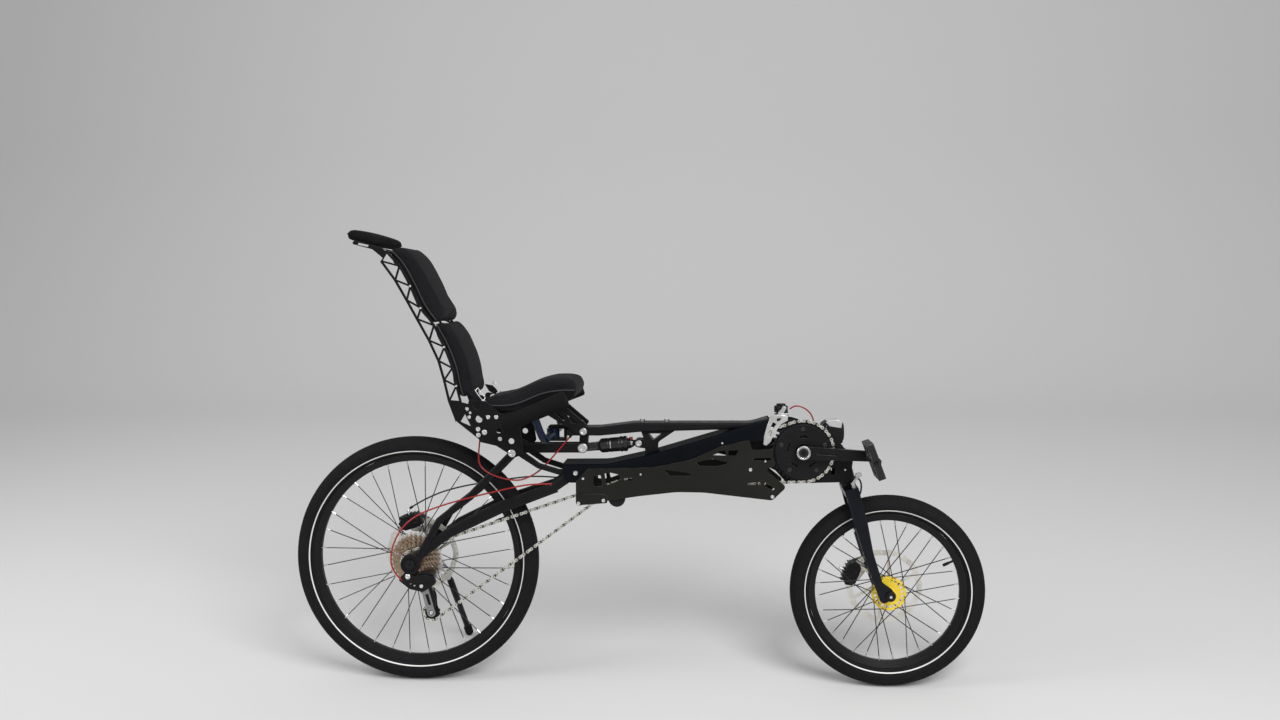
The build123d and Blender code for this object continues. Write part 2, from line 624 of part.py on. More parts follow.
beam_solid = beam_shape(0.0, BEAM_HALF_WIDE, True)
hollow_rear, hollow_front = beam_shape(BEAM_WALL, BEAM_HALF_WIDE - BEAM_WALL, False)
rear_end = (hollow_rear[0][0] - 40.0, hollow_rear[0][1])
rise_from = hollow_rear[2]
beam_rise = (hollow_front[0][1] - rise_from[1]) / (hollow_front[0][0] - rise_from[0])
front_end = (hollow_front[0][0] + 60.0, hollow_front[0][1] + 60.0 * beam_rise)
hollow = flat([rear_end] + hollow_rear[1:] + [front_end, (front_end[0], CRANK[1] - 120.0),
                                              (rear_end[0], PIVOT[1] - 120.0)],
              0.0, 2 * (BEAM_HALF_WIDE - BEAM_WALL))
hollow = rounded_top(hollow, BEAM_HALF_WIDE - BEAM_WALL, BEAM_ROUND - BEAM_WALL)
nodes["main_beam"] = (beam_solid - hollow - cross_rod(CRANK, -BEAM_HALF_WIDE, BEAM_HALF_WIDE, CAGE_CLEAR_R)
                      - cross_rod(PIVOT, -BEAM_HALF_WIDE, BEAM_HALF_WIDE, PIVOT_BOLT_R))

SHELL_REAR_LOW = ((1.0, -86.0, 8.0), (75.0, -73.0, 60.0), (167.0, -59.0, 200.0), (263.0, -48.0, 200.0))
SHELL_FRONT = ((-254.0, -106.0, 200.0), (-78.0, -126.0, 16.0), (-42.0, -91.0, 8.0), (-99.0, -44.0, 12.0),
               (-72.0, -38.0, 4.0), (-72.0, 7.0, 4.0), (-130.0, 5.0, 5.0), (-137.0, 31.0, 4.0),
               (-212.0, 13.0, 60.0))
SHELL_REAR_TOP = ((300.0, 36.0, 80.0), (203.0, 16.0, 100.0), (33.0, 12.0, 12.0), (1.0, -22.0, 10.0))
SHELL_REAR_WINDOWS = (
    ((47.0, -34.0, 3.0), (71.0, -34.0, 3.0), (66.0, -4.0, 3.0), (46.0, -9.0, 3.0)),
    ((81.0, -32.0, 3.0), (119.0, -17.0, 3.0), (113.0, -3.0, 3.0), (92.0, 2.0, 3.0), (76.0, 0.0, 3.0)),
    ((127.0, -19.0), (148.0, -19.0), (148.0, -12.0), (127.0, -12.0)),
    ((231.0, 10.0), (246.0, -6.0), (303.0, -6.0), (296.0, 2.0)),
    ((313.0, 30.0, 3.0), (320.0, 21.0, 3.0), (366.0, 19.0, 3.0), (405.0, 28.0, 3.0), (355.0, 39.0, 3.0)),
)
SHELL_FRONT_WINDOWS = (
    ((-231.0, -9.0), (-198.0, -10.0), (-198.0, 4.0), (-212.0, 3.0)),
    ((-191.0, -10.0), (-171.0, -10.0), (-164.0, 4.0), (-191.0, 4.0)),
    ((-143.0, -86.0), (-107.0, -86.0), (-110.0, -78.0), (-143.0, -81.0)),
    ((-100.0, -86.0), (-79.0, -101.0), (-72.0, -96.0), (-96.0, -78.0)),
    ((-126.0, -22.0), (-82.0, -22.0), (-82.0, -16.0), (-126.0, -16.0)),
)
SHELL_FOOT = ((1.0, -54.0, 3.0), (75.0, -54.0, 3.0), (85.0, -61.0, 3.0), (82.0, -77.0, 3.0), (12.0, -83.0, 4.0),
              (1.0, -78.0, 4.0))
SHELL_FOOT_THICK = 3.0
SPACER_R = 6.0
SHELL_SPACERS = on_span(PIVOT, [(8.0, -78.0)]) + on_span(CRANK, [(-134.0, -46.0), (-78.0, -116.0)])


def shell(side):
    """A side plate with its windows, and the thicker foot at its rear corner."""
    outline = on_span(PIVOT, SHELL_REAR_LOW) + on_span(CRANK, SHELL_FRONT) + on_span(PIVOT, SHELL_REAR_TOP)
    windows = [on_span(PIVOT, w) for w in SHELL_REAR_WINDOWS] + [on_span(CRANK, w) for w in SHELL_FRONT_WINDOWS]
    y_mid = side * (BEAM_HALF_WIDE + SHELL_THICK / 2)
    plate = flat(outline, y_mid, SHELL_THICK, windows=windows)
    plate -= cross_rod(CRANK, -BEAM_HALF_WIDE - SHELL_THICK, BEAM_HALF_WIDE + SHELL_THICK, GUARD_CLEAR_R)
    foot_y = side * (BEAM_HALF_WIDE + SHELL_THICK + SHELL_FOOT_THICK / 2)
    return plate + flat(on_span(PIVOT, SHELL_FOOT), foot_y, SHELL_FOOT_THICK)


nodes["shell_right"] = shell(-1)
nodes["shell_left"] = shell(1)
for place in SHELL_SPACERS:
    nodes["shell_left"] += cross_rod(place, -BEAM_HALF_WIDE, BEAM_HALF_WIDE, SPACER_R)

TOP_BEAM_HALF = 30.0
TOP_BEAM_ROUND = 5.0
TOP_REAR = ((-29.0, 94.0, 4.0), (-29.0, 116.0, 6.0), (63.0, 117.0, 60.0), (150.0, 128.0, 60.0))
TOP_FRONT = ((-134.0, 71.0, 80.0), (-88.0, 82.0), (-88.0, 60.0), (-214.0, 53.0, 80.0))
TOP_REAR_LOW = ((167.0, 104.0, 100.0), (62.0, 94.0, 60.0))
top_corners = on_span(PIVOT, TOP_REAR) + on_span(CRANK, TOP_FRONT) + on_span(PIVOT, TOP_REAR_LOW)
top_solid = rounded_top(flat(top_corners, 0.0, 2 * TOP_BEAM_HALF), TOP_BEAM_HALF, TOP_BEAM_ROUND)
nodes["top_beam"] = top_solid - beam_solid
BOSS_PLACES = at(PIVOT, [(172.0, 128.0), (236.0, 128.0)])
BOSS_RISE = 7.0
BOSS_ROOT = 1.0
BOSS_R = 7.0
BOSS_BORE_R = 2.5


def boss(place):
    """A six-sided boss whose foot is trimmed to the upper beam."""
    body = Pos(place[0], 0, place[1] - BOSS_ROOT) * extrude(RegularPolygon(BOSS_R, 6), BOSS_ROOT + BOSS_RISE)
    bore = rod((place[0], 0, place[1] - 2 * BOSS_ROOT), (place[0], 0, place[1] + BOSS_RISE + BOSS_ROOT), BOSS_BORE_R)
    return body - bore - top_solid


nodes["bottle_bosses"] = Compound(children=[boss(place) for place in BOSS_PLACES])

# Rear suspension
UPPER_PIVOT = at(PIVOT, [(-157.0, 59.0)])[0]
SHOCK_REAR = at(PIVOT, [(15.0, 60.0)])[0]
SHOCK_FRONT = at(PIVOT, [(163.0, 73.0)])[0]
ROCKER_TOP = at(PIVOT, [(19.0, 106.0)])[0]
CROSS_TUBE_R = 10.0
SHOCK_BOLT_R = 5.0
POST_HALF = 20.0
POST_OUTLINE = ((169.0, 106.0), (180.0, 74.0, 8.0), (179.0, 44.0), (213.0, 54.0), (213.0, 76.0, 20.0),
                (258.0, 106.0))
POST_WINDOW = ((187.0, 99.0, 2.0), (226.0, 99.0, 2.0), (201.0, 80.0, 3.0))
SHOCK_EYE_HALF = 9.0
post = flat(at(PIVOT, POST_OUTLINE), 0.0, 2 * POST_HALF, windows=[at(PIVOT, POST_WINDOW)])
ear_y = (POST_HALF + SHOCK_EYE_HALF + SEAT_GAP) / 2
ear_thick = POST_HALF - SHOCK_EYE_HALF - SEAT_GAP
for side in (-1, 1):
    post += link(SHOCK_FRONT, at(PIVOT, [(185.0, 70.0)])[0], 11.0, side * ear_y, ear_thick)
nodes["shock_post"] = post - top_solid - beam_solid - cross_rod(SHOCK_FRONT, -POST_HALF, POST_HALF, SHOCK_BOLT_R)

# Shock profile rows: radius, distance along it from its rear bolt
SHOCK_PROFILE = ((7.0, 38.0), (17.0, 48.0), (17.0, 88.0), (19.0, 90.0), (19.0, 97.0), (14.0, 99.0), (14.0, 128.0),
                 (8.0, 136.0))
YOKE_WINDOW = ((14.0, -6.0), (34.0, -6.0), (34.0, 6.0), (14.0, 6.0))
shock_heading = math.degrees(math.atan2(SHOCK_FRONT[1] - SHOCK_REAR[1], SHOCK_FRONT[0] - SHOCK_REAR[0]))
shock_long = math.dist(SHOCK_REAR, SHOCK_FRONT)


def along_shock(body):
    return Pos(SHOCK_REAR[0], 0, SHOCK_REAR[1]) * Rot(0, -shock_heading, 0) * body


can = revolve(Plane.XY * Polygon((0.0, 38.0), *SHOCK_PROFILE, (0.0, 136.0), align=None), Axis.Y, 360)
yoke = flat([(-9.0, -9.0, 8.0), (42.0, -12.0, 2.0), (42.0, 12.0, 2.0), (-9.0, 9.0, 8.0)], 0.0, 14.0,
            windows=[YOKE_WINDOW])
eye = cross_rod((shock_long, 0.0), -SHOCK_EYE_HALF, SHOCK_EYE_HALF, 9.0) + rod(
    (130.0, 0, 0), (shock_long, 0, 0), 7.0)
nodes["shock"] = (along_shock(Rot(0, 0, -90) * can + yoke + eye)
                  - cross_rod(SHOCK_REAR, -20.0, 20.0, SHOCK_BOLT_R) - cross_rod(SHOCK_FRONT, -20.0, 20.0, SHOCK_BOLT_R))
ROCKER_Y = (7.5, 12.5)
LINK_Y = (13.0, 19.0)


def pair(start, end, radius, y_range, holes):
    """Two like straps, one each side of the middle, less the bolts that pass through."""
    thick = y_range[1] - y_range[0]
    body = Part()
    for side in (-1, 1):
        body += link(start, end, radius, side * (y_range[0] + y_range[1]) / 2, thick)
    for place, r in holes:
        body -= cross_rod(place, -y_range[1], y_range[1], r)
    return body


nodes["rocker"] = pair(SHOCK_REAR, ROCKER_TOP, 11.0, ROCKER_Y, [(SHOCK_REAR, SHOCK_BOLT_R)]) - top_solid
nodes["suspension_link"] = pair(UPPER_PIVOT, SHOCK_REAR, 12.0, LINK_Y,
                                [(SHOCK_REAR, SHOCK_BOLT_R), (UPPER_PIVOT, CROSS_TUBE_R)])

# Swingarm station rows: x from the rear axle, side, z from the rear axle, depth, width
LOWER_STAY = ((-12.0, 68.0, -2.0, 24.0, 12.0), (104.0, 63.0, 84.0, 27.0, 13.0), (238.0, 51.0, 149.0, 32.0, 14.0),
              (385.0, 45.0, 201.0, 26.0, 12.0))
UPPER_STAY = ((26.0, 68.0, 26.0, 18.0, 12.0), (78.0, 66.0, 116.0, 18.0, 12.0), (159.0, 57.0, 178.0, 20.0, 12.0),
              (280.0, 50.0, 299.5, 20.0, 12.0))
CURVED_ARM = ((280.0, 50.0, 299.5, 18.0, 10.0), (340.0, 47.0, 258.0, 15.0, 10.0), (392.0, 45.0, 242.0, 15.0, 10.0),
              (440.0, 45.0, 241.0, 18.0, 10.0))
FRONT_ARM = ((370.0, 45.0, 196.0, 26.0, 12.0), (437.0, 45.0, 240.5, 24.0, 12.0))
SWING_CROSS = (366.0, 192.0)
DROPOUT_R = 26.0


def stay(stations, side):
    """A tapered eight-sided tube through its stations."""
    centres = [Vector(REAR[0] + x, side * y, REAR[1] + z) for x, y, z, _, _ in stations]
    sections = []
    for i, (_, _, _, deep, wide) in enumerate(stations):
        along = centres[min(i + 1, len(centres) - 1)] - centres[max(i - 1, 0)]
        deep_way = Vector(0, 1, 0).cross(along).normalized()
        wide_way = along.cross(deep_way).normalized()
        a, b = deep / 2, wide / 2
        c = 0.55 * b
        corners = [(a, b - c), (a - c, b), (c - a, b), (-a, b - c), (-a, c - b), (c - a, -b), (a - c, -b), (a, c - b)]
        points = [centres[i] + deep_way * p + wide_way * q for p, q in corners]
        sections.append(Face(Wire.make_polygon(points, close=True)))
    return loft(sections, ruled=True)


def swing_side(side):
    """One side of the swingarm: two stays, the curved arm and the dropout."""
    body = stay(LOWER_STAY, side)
    for stations in (FRONT_ARM, UPPER_STAY, CURVED_ARM):
        body += stay(stations, side)
    body += cross_rod(REAR, side * REAR_DROPOUT_Y[0], side * REAR_DROPOUT_Y[1], DROPOUT_R)
    body += cross_rod(PIVOT, side * 39.0, side * 51.0, 15.0)
    body += cross_rod(UPPER_PIVOT, side * 44.0, side * 56.0, 14.0)
    return body - cross_rod(PIVOT, side * 30.0, side * 60.0, PIVOT_BOLT_R)


nodes["swingarm"] = (both_sides(swing_side)
                     + cross_rod(at(REAR, [SWING_CROSS])[0], -46.0, 46.0, CROSS_TUBE_R)
                     + cross_rod(UPPER_PIVOT, -46.0, 46.0, CROSS_TUBE_R)
                     - cross_rod(REAR, -REAR_DROPOUT_Y[0], REAR_DROPOUT_Y[0], HUB_R + 4.0)
                     - cross_rod(REAR, -REAR_DROPOUT_Y[1], REAR_DROPOUT_Y[1], AXLE_R))
nodes["rear_caliper"] = rear_caliper - nodes["swingarm"]

# Bolt rows: place, half length, shaft radius, cap radius, cap thickness
CAP_THICK = 4.0
BOLTS = (
    (PIVOT, BEAM_HALF_WIDE, PIVOT_BOLT_R, 11.0),
    (SHOCK_REAR, LINK_Y[1], SHOCK_BOLT_R, 13.0),
    (SHOCK_FRONT, POST_HALF, SHOCK_BOLT_R, 9.0),
)
bolts = []
for place, half, shaft_r, cap_r in BOLTS:
    bolt = cross_rod(place, -half, half, shaft_r)
    for side in (-1, 1):
        bolt += hex_head(place, side * half, side * (half + CAP_THICK), cap_r)
    bolts.append(bolt)
nodes["pivot_bolts"] = Compound(children=bolts)

# Front frame
PLATE_Y = 32.0
PLATE_THICK = 4.0
BRACKET_R = 22.0
BRACKET_HALF = 38.0
PLATE_OUTLINE = ((-24.0, 80.0, 30.0), (38.0, 61.0, 14.0), (60.0, 23.0, 10.0), (110.0, 7.0, 12.0),
                 (130.0, -27.0, 10.0), (122.0, -82.0, 8.0), (-39.0, -86.0, 12.0), (-69.0, -52.0, 15.0),
                 (-119.0, -27.0, 20.0), (-156.0, 13.0, 12.0))
PLATE_WINDOWS = (((74.0, -63.0), (84.0, -63.0), (84.0, -45.0), (74.0, -45.0)),
                 ((-100.0, 20.0, 6.0), (-60.0, 10.0, 6.0), (-40.0, 40.0, 6.0), (-80.0, 55.0, 6.0)))
RIBS = (((20.0, -27.0), (126.0, -27.0), (126.0, -23.0), (20.0, -23.0)),
        ((20.0, -75.0), (122.0, -75.0), (122.0, -71.0), (20.0, -71.0)),
        ((42.0, 30.0), (46.0, 30.0), (46.0, 52.0), (42.0, 54.0)))
POST_R = 12.0
FD_POST = at(CRANK, [(-52.0, 68.0)])[0]
FD_POST_TOP = 118.0
PLATE_TOP_X = (-162.0, -84.0)
beam_under = [(CRANK[0] + dx, rise_from[1] + (CRANK[0] + dx - rise_from[0]) * beam_rise) for dx in PLATE_TOP_X]
plates = Part()
for side in (-1, 1):
    plates += flat(beam_under + at(CRANK, PLATE_OUTLINE), side * PLATE_Y, PLATE_THICK,
                   windows=[at(CRANK, w) for w in PLATE_WINDOWS])
rib_wide = 2 * (PLATE_Y - PLATE_THICK / 2)
for corners in RIBS:
    plates += flat(at(CRANK, corners), 0.0, rib_wide)
plates += Pos(FD_POST[0], 0, FD_POST[1]) * Box(30.0, rib_wide, 6.0)
plates += rod((FD_POST[0], 0, FD_POST[1]), (FD_POST[0], 0, CRANK[1] + FD_POST_TOP), POST_R)
plates += cross_rod(CRANK, -BRACKET_HALF, BRACKET_HALF, BRACKET_R)
plates += rod(on_head(HEAD_TUBE_UP[0]), on_head(HEAD_TUBE_UP[1]), HEAD_TUBE_R)
plates -= rod(on_head(HEAD_TUBE_UP[0] - 30.0), on_head(HEAD_TUBE_UP[1] + 30.0), STEERER_R + RUN_CLEARANCE)
plates -= rod(on_head(HEAD_TUBE_UP[1]), on_head(HEAD_TUBE_UP[1] + 12.0), HEAD_TUBE_R + 1.0)
nodes["front_frame"] = plates - cross_rod(CRANK, -BRACKET_HALF, BRACKET_HALF, SPINDLE_R + RUN_CLEARANCE)

# Headlight
LAMP_OUTLINE = ((46.0, 30.0), (46.0, 52.0), (60.0, 76.0, 8.0), (98.0, 80.0, 8.0), (106.0, 14.0, 8.0),
                (62.0, 10.0, 8.0))
LAMP_HALF = 25.0
LENS_R = 20.0
lens_x, lens_z = at(CRANK, [(100.0, 48.0)])[0]
nodes["headlight"] = flat(at(CRANK, LAMP_OUTLINE), 0.0, 2 * LAMP_HALF) + rod(
    (lens_x, 0, lens_z), (lens_x + 9.0, 0, lens_z), LENS_R)

# Seat
SEAT_HALF = 102.0
SEAT_THICK = 4.0
CUSHION_HALF = SEAT_HALF - 2.3
CHORD_HALF = 3.5
WEB_HALF = 2.3
# Seat chord rows, from the top down: offsets from the swing pivot
REAR_CHORD = ((-486.4, 552.5), (-451.2, 503.9), (-422.5, 452.7), (-396.3, 404.1), (-366.3, 349.0), (-342.7, 296.4),
              (-329.4, 247.7), (-317.4, 193.7), (-297.7, 139.6))
FRONT_CHORD = ((-472.9, 575.2), (-440.0, 539.4), (-412.6, 488.3), (-386.6, 432.1), (-353.8, 387.3), (-327.7, 332.2),
               (-308.0, 278.4), (-298.5, 232.2), (-288.9, 191.1))
HEAD_HORN = ((-470.0, 574.0), (-488.0, 588.0, 4.0), (-556.0, 605.0, 5.0), (-562.0, 597.0, 5.0),
             (-509.0, 582.5, 4.0), (-482.0, 560.0))
HORN_SLOT = ((-545.0, 599.5), (-518.0, 593.5), (-520.0, 588.5), (-547.0, 594.5))
PAN_PLATE = ((-271.0, 198.0, 8.0), (-221.0, 192.0, 12.0), (-185.0, 161.0, 14.0), (-139.0, 146.0, 8.0),
             (-127.0, 64.0, 10.0), (-147.0, 46.0, 12.0), (-197.0, 78.0, 20.0), (-240.0, 88.0, 8.0))
# Hole rows: x, z, radius
PAN_HOLES = ((-245.0, 182.0, 11.0), (-240.5, 147.0, 10.0), (-271.0, 173.0, 4.0), (-264.0, 163.0, 4.0),
             (-266.0, 152.0, 4.0), (-217.0, 152.0, 5.0), (-196.0, 152.0, 5.0), (-243.5, 121.0, 5.0),
             (-243.0, 106.0, 5.0), (-227.0, 113.0, 6.0), (-190.0, 118.0, 8.0), (-160.0, 124.0, 8.0),
             (-158.0, 90.0, 8.0), (-187.0, 96.0, 5.0))
CROSSBAR_R = 5.0
CROSSBARS = at(PIVOT, [FRONT_CHORD[i] for i in (0, 2, 3, 5, 7)])
PAN_TOP = ((-241.0, 172.0), (-187.0, 161.0, 60.0), (-135.0, 164.0, 60.0), (-71.0, 189.0))
PAN_THICK = 4.0
CUSHION_DEEP = 28.0
SEAT_DEEP = 26.0


def lattice():
    """The truss windows between the chords, from the top down."""
    windows = []
    rear, front = at(PIVOT, REAR_CHORD), at(PIVOT, FRONT_CHORD)
    for i in range(len(front) - 1):
        windows.append(inset((rear[i], front[i], front[i + 1]), WEB_HALF))
        windows.append(inset((rear[i], front[i + 1], rear[i + 1]), WEB_HALF))
    return windows


def seat_side(side):
    """A lattice side of the backrest and its perforated foot, cut from one plate."""
    y_mid = side * SEAT_HALF
    rear, front = at(PIVOT, REAR_CHORD), at(PIVOT, FRONT_CHORD)
    outline = shifted(rear, CHORD_HALF) + shifted(front, -CHORD_HALF)[::-1]
    plate = flat(outline, y_mid, SEAT_THICK, windows=lattice())
    plate += flat(at(PIVOT, PAN_PLATE), y_mid, SEAT_THICK)
    plate += flat([rear[-1], rear[-2], front[-1], at(PIVOT, [(-262.0, 184.0)])[0], at(PIVOT, [(-238.0, 92.0)])[0]],
                  y_mid, SEAT_THICK, windows=[at(PIVOT, ((-289.0, 140.0), (-277.0, 160.0), (-262.0, 128.0)))])
    plate += flat(at(PIVOT, HEAD_HORN), y_mid, SEAT_THICK, windows=[at(PIVOT, HORN_SLOT)])
    for x, z, r in at(PIVOT, PAN_HOLES):
        plate -= Plane(origin=(x, y_mid + SEAT_THICK, z), z_dir=(0, -1, 0)) * extrude(
            RegularPolygon(r, 8), 2 * SEAT_THICK)
    return plate


nodes["seat_side_right"] = seat_side(-1)
nodes["seat_side_left"] = seat_side(1)
inner = SEAT_HALF - SEAT_THICK / 2
pan_top = at(PIVOT, PAN_TOP)
pan_low = [(x, z - PAN_THICK, *r) for x, z, *r in reversed(pan_top)]
pan = flat(pan_top + pan_low, 0.0, 2 * inner)
nodes["seat_crossbars"] = Compound(children=[cross_rod(place, -inner, inner, CROSSBAR_R) for place in CROSSBARS])
nodes["seat_pan"] = pan


def back_cushion(top_row, low_row, top_trim, low_trim, deep):
    """A pad that lies along the front chord between two of its rows."""
    line = at(PIVOT, FRONT_CHORD[top_row:low_row])
    line = [(line[0][0] + top_trim[0], line[0][1] + top_trim[1])] + line[1:-1] + [
        (line[-1][0] + low_trim[0], line[-1][1] + low_trim[1])]
    back = shifted(line, -CROSSBAR_R - SEAT_GAP)
    face = shifted(line, -CROSSBAR_R - SEAT_GAP - deep)
    corners = [(*back[0], 8.0)] + back[1:-1] + [(*back[-1], 8.0), (*face[-1], 12.0)] + face[1:-1][::-1] \
        + [(*face[0], 12.0)]
    return flat(corners, 0.0, 2 * CUSHION_HALF)


nodes["back_cushion_upper"] = back_cushion(0, 5, (0.0, 0.0), (-7.0, 12.0), CUSHION_DEEP + 3.0)
nodes["back_cushion_lower"] = back_cushion(4, 9, (7.0, -12.0), (0.0, 6.0), CUSHION_DEEP)
cushion_low = [(x, z + SEAT_GAP, *r) for x, z, *r in pan_top]
cushion_top = [(x, z + SEAT_DEEP, 12.0 if i in (0, 3) else 60.0) for i, (x, z, *r) in enumerate(pan_top)]
nodes["seat_cushion"] = flat(cushion_low + cushion_top[::-1], 0.0, 2 * CUSHION_HALF)
ROLL_OUTLINE = ((-574.0, 602.0, 14.0), (-576.0, 633.0, 16.0), (-500.0, 616.0, 12.0), (-492.0, 582.0, 6.0))
nodes["head_roll"] = flat(at(PIVOT, ROLL_OUTLINE), 0.0, 2 * CUSHION_HALF) - nodes["seat_side_right"] \
    - nodes["seat_side_left"]
STRUT_OUTLINE = ((-92.0, 160.0, 6.0), (-92.0, 179.0), (-71.5, 187.0), (-34.0, 178.0), (29.0, 124.0, 6.0),
                 (5.0, 100.0, 6.0))
STRUT_WINDOWS = (((-57.0, 157.0), (-45.0, 155.0), (-25.0, 136.0), (-33.0, 134.0)),
                 ((-24.0, 150.0), (-10.0, 128.0), (14.0, 125.0)))
STRUT_THICK = 6.0


def seat_strut(side):
    y_mid = side * (TOP_BEAM_HALF + STRUT_THICK / 2)
    return flat(at(PIVOT, STRUT_OUTLINE), y_mid, STRUT_THICK, windows=[at(PIVOT, w) for w in STRUT_WINDOWS])


nodes["seat_struts"] = both_sides(seat_strut) - pan

# Handlebar under the seat
BAR_PIN = at(PIVOT, [(-65.0, 98.0)])[0]
PIN_R = 8.0
COLLAR_R = 17.0
COLLAR_HALF = 12.0
BAR_R = 10.0
BAR_HALF_WIDE = 165.0
GRIP_R = 22.0
GRIP_REAR = (-104.0, 40.0)
GRIP_FRONT = (58.0, 106.0)
RISER_TOP = (-26.0, 71.8)
TONGUE_WIDE = 24.0
BEAM_REAR_X = top_corners[0][0]


def bar_pivot():
    """A fork on the upper beam's rear end that holds the handlebar's upright pin."""
    reach = BEAM_REAR_X - BAR_PIN[0]
    low, high = BAR_PIN[1] - COLLAR_HALF - SEAT_GAP, BAR_PIN[1] + COLLAR_HALF + SEAT_GAP
    upper = [(-12.0, 0.0, 5.0), (-12.0, 9.0, 5.0), (reach, 9.0), (reach, 0.0)]
    lower = [(-12.0, 0.0, 5.0), (-12.0, -8.0, 5.0), (reach, -8.0), (reach, 0.0)]
    back = [(reach - 6.0, -8.0), (reach, -8.0), (reach, high - low + 9.0), (reach - 6.0, high - low + 9.0)]
    body = flat(at((BAR_PIN[0], high), upper), 0.0, TONGUE_WIDE)
    body += flat(at((BAR_PIN[0], low), lower), 0.0, TONGUE_WIDE)
    body += flat(at((BAR_PIN[0], low), back), 0.0, TONGUE_WIDE)
    return body + rod((BAR_PIN[0], 0, low - 4.0), (BAR_PIN[0], 0, high + 4.0), PIN_R)


def bar_side(side):
    """Half of the bar: out from the collar, up the riser, and along inside the grip."""
    y = side * BAR_HALF_WIDE
    x, z = BAR_PIN
    body = pipe([(x, side * (COLLAR_R - 4.0), z), (x, y, z), (x + RISER_TOP[0], y, z + RISER_TOP[1])], BAR_R, 30.0)
    return body + rod((x + GRIP_REAR[0] - 3.0, y, z + GRIP_REAR[1] - 1.2), (x + GRIP_FRONT[0], y, z + GRIP_FRONT[1]),
                      BAR_R)


def grip(side):
    y = side * BAR_HALF_WIDE
    x, z = BAR_PIN
    return rod((x + GRIP_REAR[0], y, z + GRIP_REAR[1]), (x + GRIP_FRONT[0], y, z + GRIP_FRONT[1]), GRIP_R)


nodes["bar_pivot"] = bar_pivot()
collar = rod((BAR_PIN[0], 0, BAR_PIN[1] - COLLAR_HALF), (BAR_PIN[0], 0, BAR_PIN[1] + COLLAR_HALF), COLLAR_R)
nodes["handlebar"] = both_sides(bar_side) + collar - rod(
    (BAR_PIN[0], 0, BAR_PIN[1] - 40.0), (BAR_PIN[0], 0, BAR_PIN[1] + 40.0), PIN_R + RUN_CLEARANCE)
nodes["grips"] = both_sides(grip) - nodes["handlebar"]

# Derailleurs and idler
CAGE_PLATE = 2.0
CAGE_SIDE = 6.5
HANGER = ((-14.0, -18.0, 6.0), (4.0, -24.0, 6.0), (6.0, -40.0, 8.0), (-10.0, -44.0, 8.0), (-24.0, -34.0, 8.0))
REAR_BODY = ((-36.0, -44.0, 6.0), (-24.0, -30.0, 8.0), (8.0, -34.0, 6.0), (34.0, -22.0, 8.0), (58.0, -26.0, 8.0),
             (66.0, -52.0, 8.0), (30.0, -76.0, 10.0), (-6.0, -68.0, 10.0))
REAR_CAGE = ((22.0, -46.0, 10.0), (44.0, -50.0, 12.0), (60.0, -88.0, 30.0), (62.0, -134.0, 13.0),
             (48.0, -148.0, 13.0), (34.0, -134.0, 13.0), (40.0, -96.0, 30.0), (20.0, -72.0, 10.0))


def pulley(centre):
    return flat(toothed(centre, PULLEY_TEETH, 1.0), CHAIN_Y, SPROCKET_THICK) + cross_rod(
        centre, CHAIN_Y - CAGE_SIDE, CHAIN_Y + CAGE_SIDE, 5.0)


rear_mech = flat(at(REAR, HANGER), -68.0, 6.0) + flat(at(REAR, REAR_BODY), -60.5, 9.0)
for side in (-1, 1):
    rear_mech += flat(at(REAR, REAR_CAGE), CHAIN_Y + side * (CAGE_SIDE + CAGE_PLATE / 2), CAGE_PLATE)
rear_mech += pulley(GUIDE_PULLEY) + pulley(TENSION_PULLEY)
nodes["rear_derailleur"] = rear_mech - nodes["swingarm"]
FRONT_CAGE_R = (77.0, 98.0)
FRONT_CAGE_DEG = (113.0, 166.0)
CAGE_HOLES = ((84.0, 91.0, 118.0, 126.0), (84.0, 91.0, 130.0, 140.0), (84.0, 91.0, 144.0, 154.0))
front_mech = Part()
for side in (-1, 1):
    front_mech += flat(sector(CRANK, *FRONT_CAGE_R, *FRONT_CAGE_DEG, 8), CHAIN_Y + side * 8.0, 1.5,
                       windows=[sector(CRANK, r0, r1, a0, a1, 2) for r0, r1, a0, a1 in CAGE_HOLES])
front_mech += flat(sector(CRANK, 88.0, 98.0, 113.0, 122.0, 2), CHAIN_Y, 17.5)
mech_block = ((-13.0, 14.0, 4.0), (-13.0, 44.0, 6.0), (16.0, 44.0, 6.0), (20.0, 14.0, 4.0))
front_mech += flat(at(FD_POST, mech_block), -33.0, 38.0)
clamp = Pos(FD_POST[0], 0, FD_POST[1] + 29.0) * extrude(RegularPolygon(POST_R + 6.0, 8), 16.0, both=False)
nodes["front_derailleur"] = front_mech + clamp - rod(
    (FD_POST[0], 0, FD_POST[1]), (FD_POST[0], 0, FD_POST[1] + 60.0), POST_R)
idler_r = tooth_radius(IDLER_TEETH) - CHAIN_HALF_DEEP - SEAT_GAP
nodes["return_idler"] = cross_rod(RETURN_IDLER, CHAIN_Y - 4.0, CHAIN_Y + 4.0, idler_r) + cross_rod(
    RETURN_IDLER, -BEAM_HALF_WIDE, CHAIN_Y + 8.0, 5.0)

# Side stand
STAND_PIVOT = Vector(REAR[0] + 60.0, 84.0, REAR[1] - 67.5)
STAND_FOOT_XY = (REAR[0] + 80.0, 245.0)
STAND_FOOT_R = 10.0
STAND_LEG_R = 6.5
STAND_FOLDED = Vector(-0.99, 0.1, -0.05)
STAND_PIN_R = 4.0
KNUCKLE_R = 10.0
KNUCKLE_HALF = 7.0
FOLD_CLEAR_R = 22.0
FOOT_LONG = 24.0
lean = math.radians(LEAN_DEG)
drop = TYRE_SECTION_R * (1 - math.cos(lean))


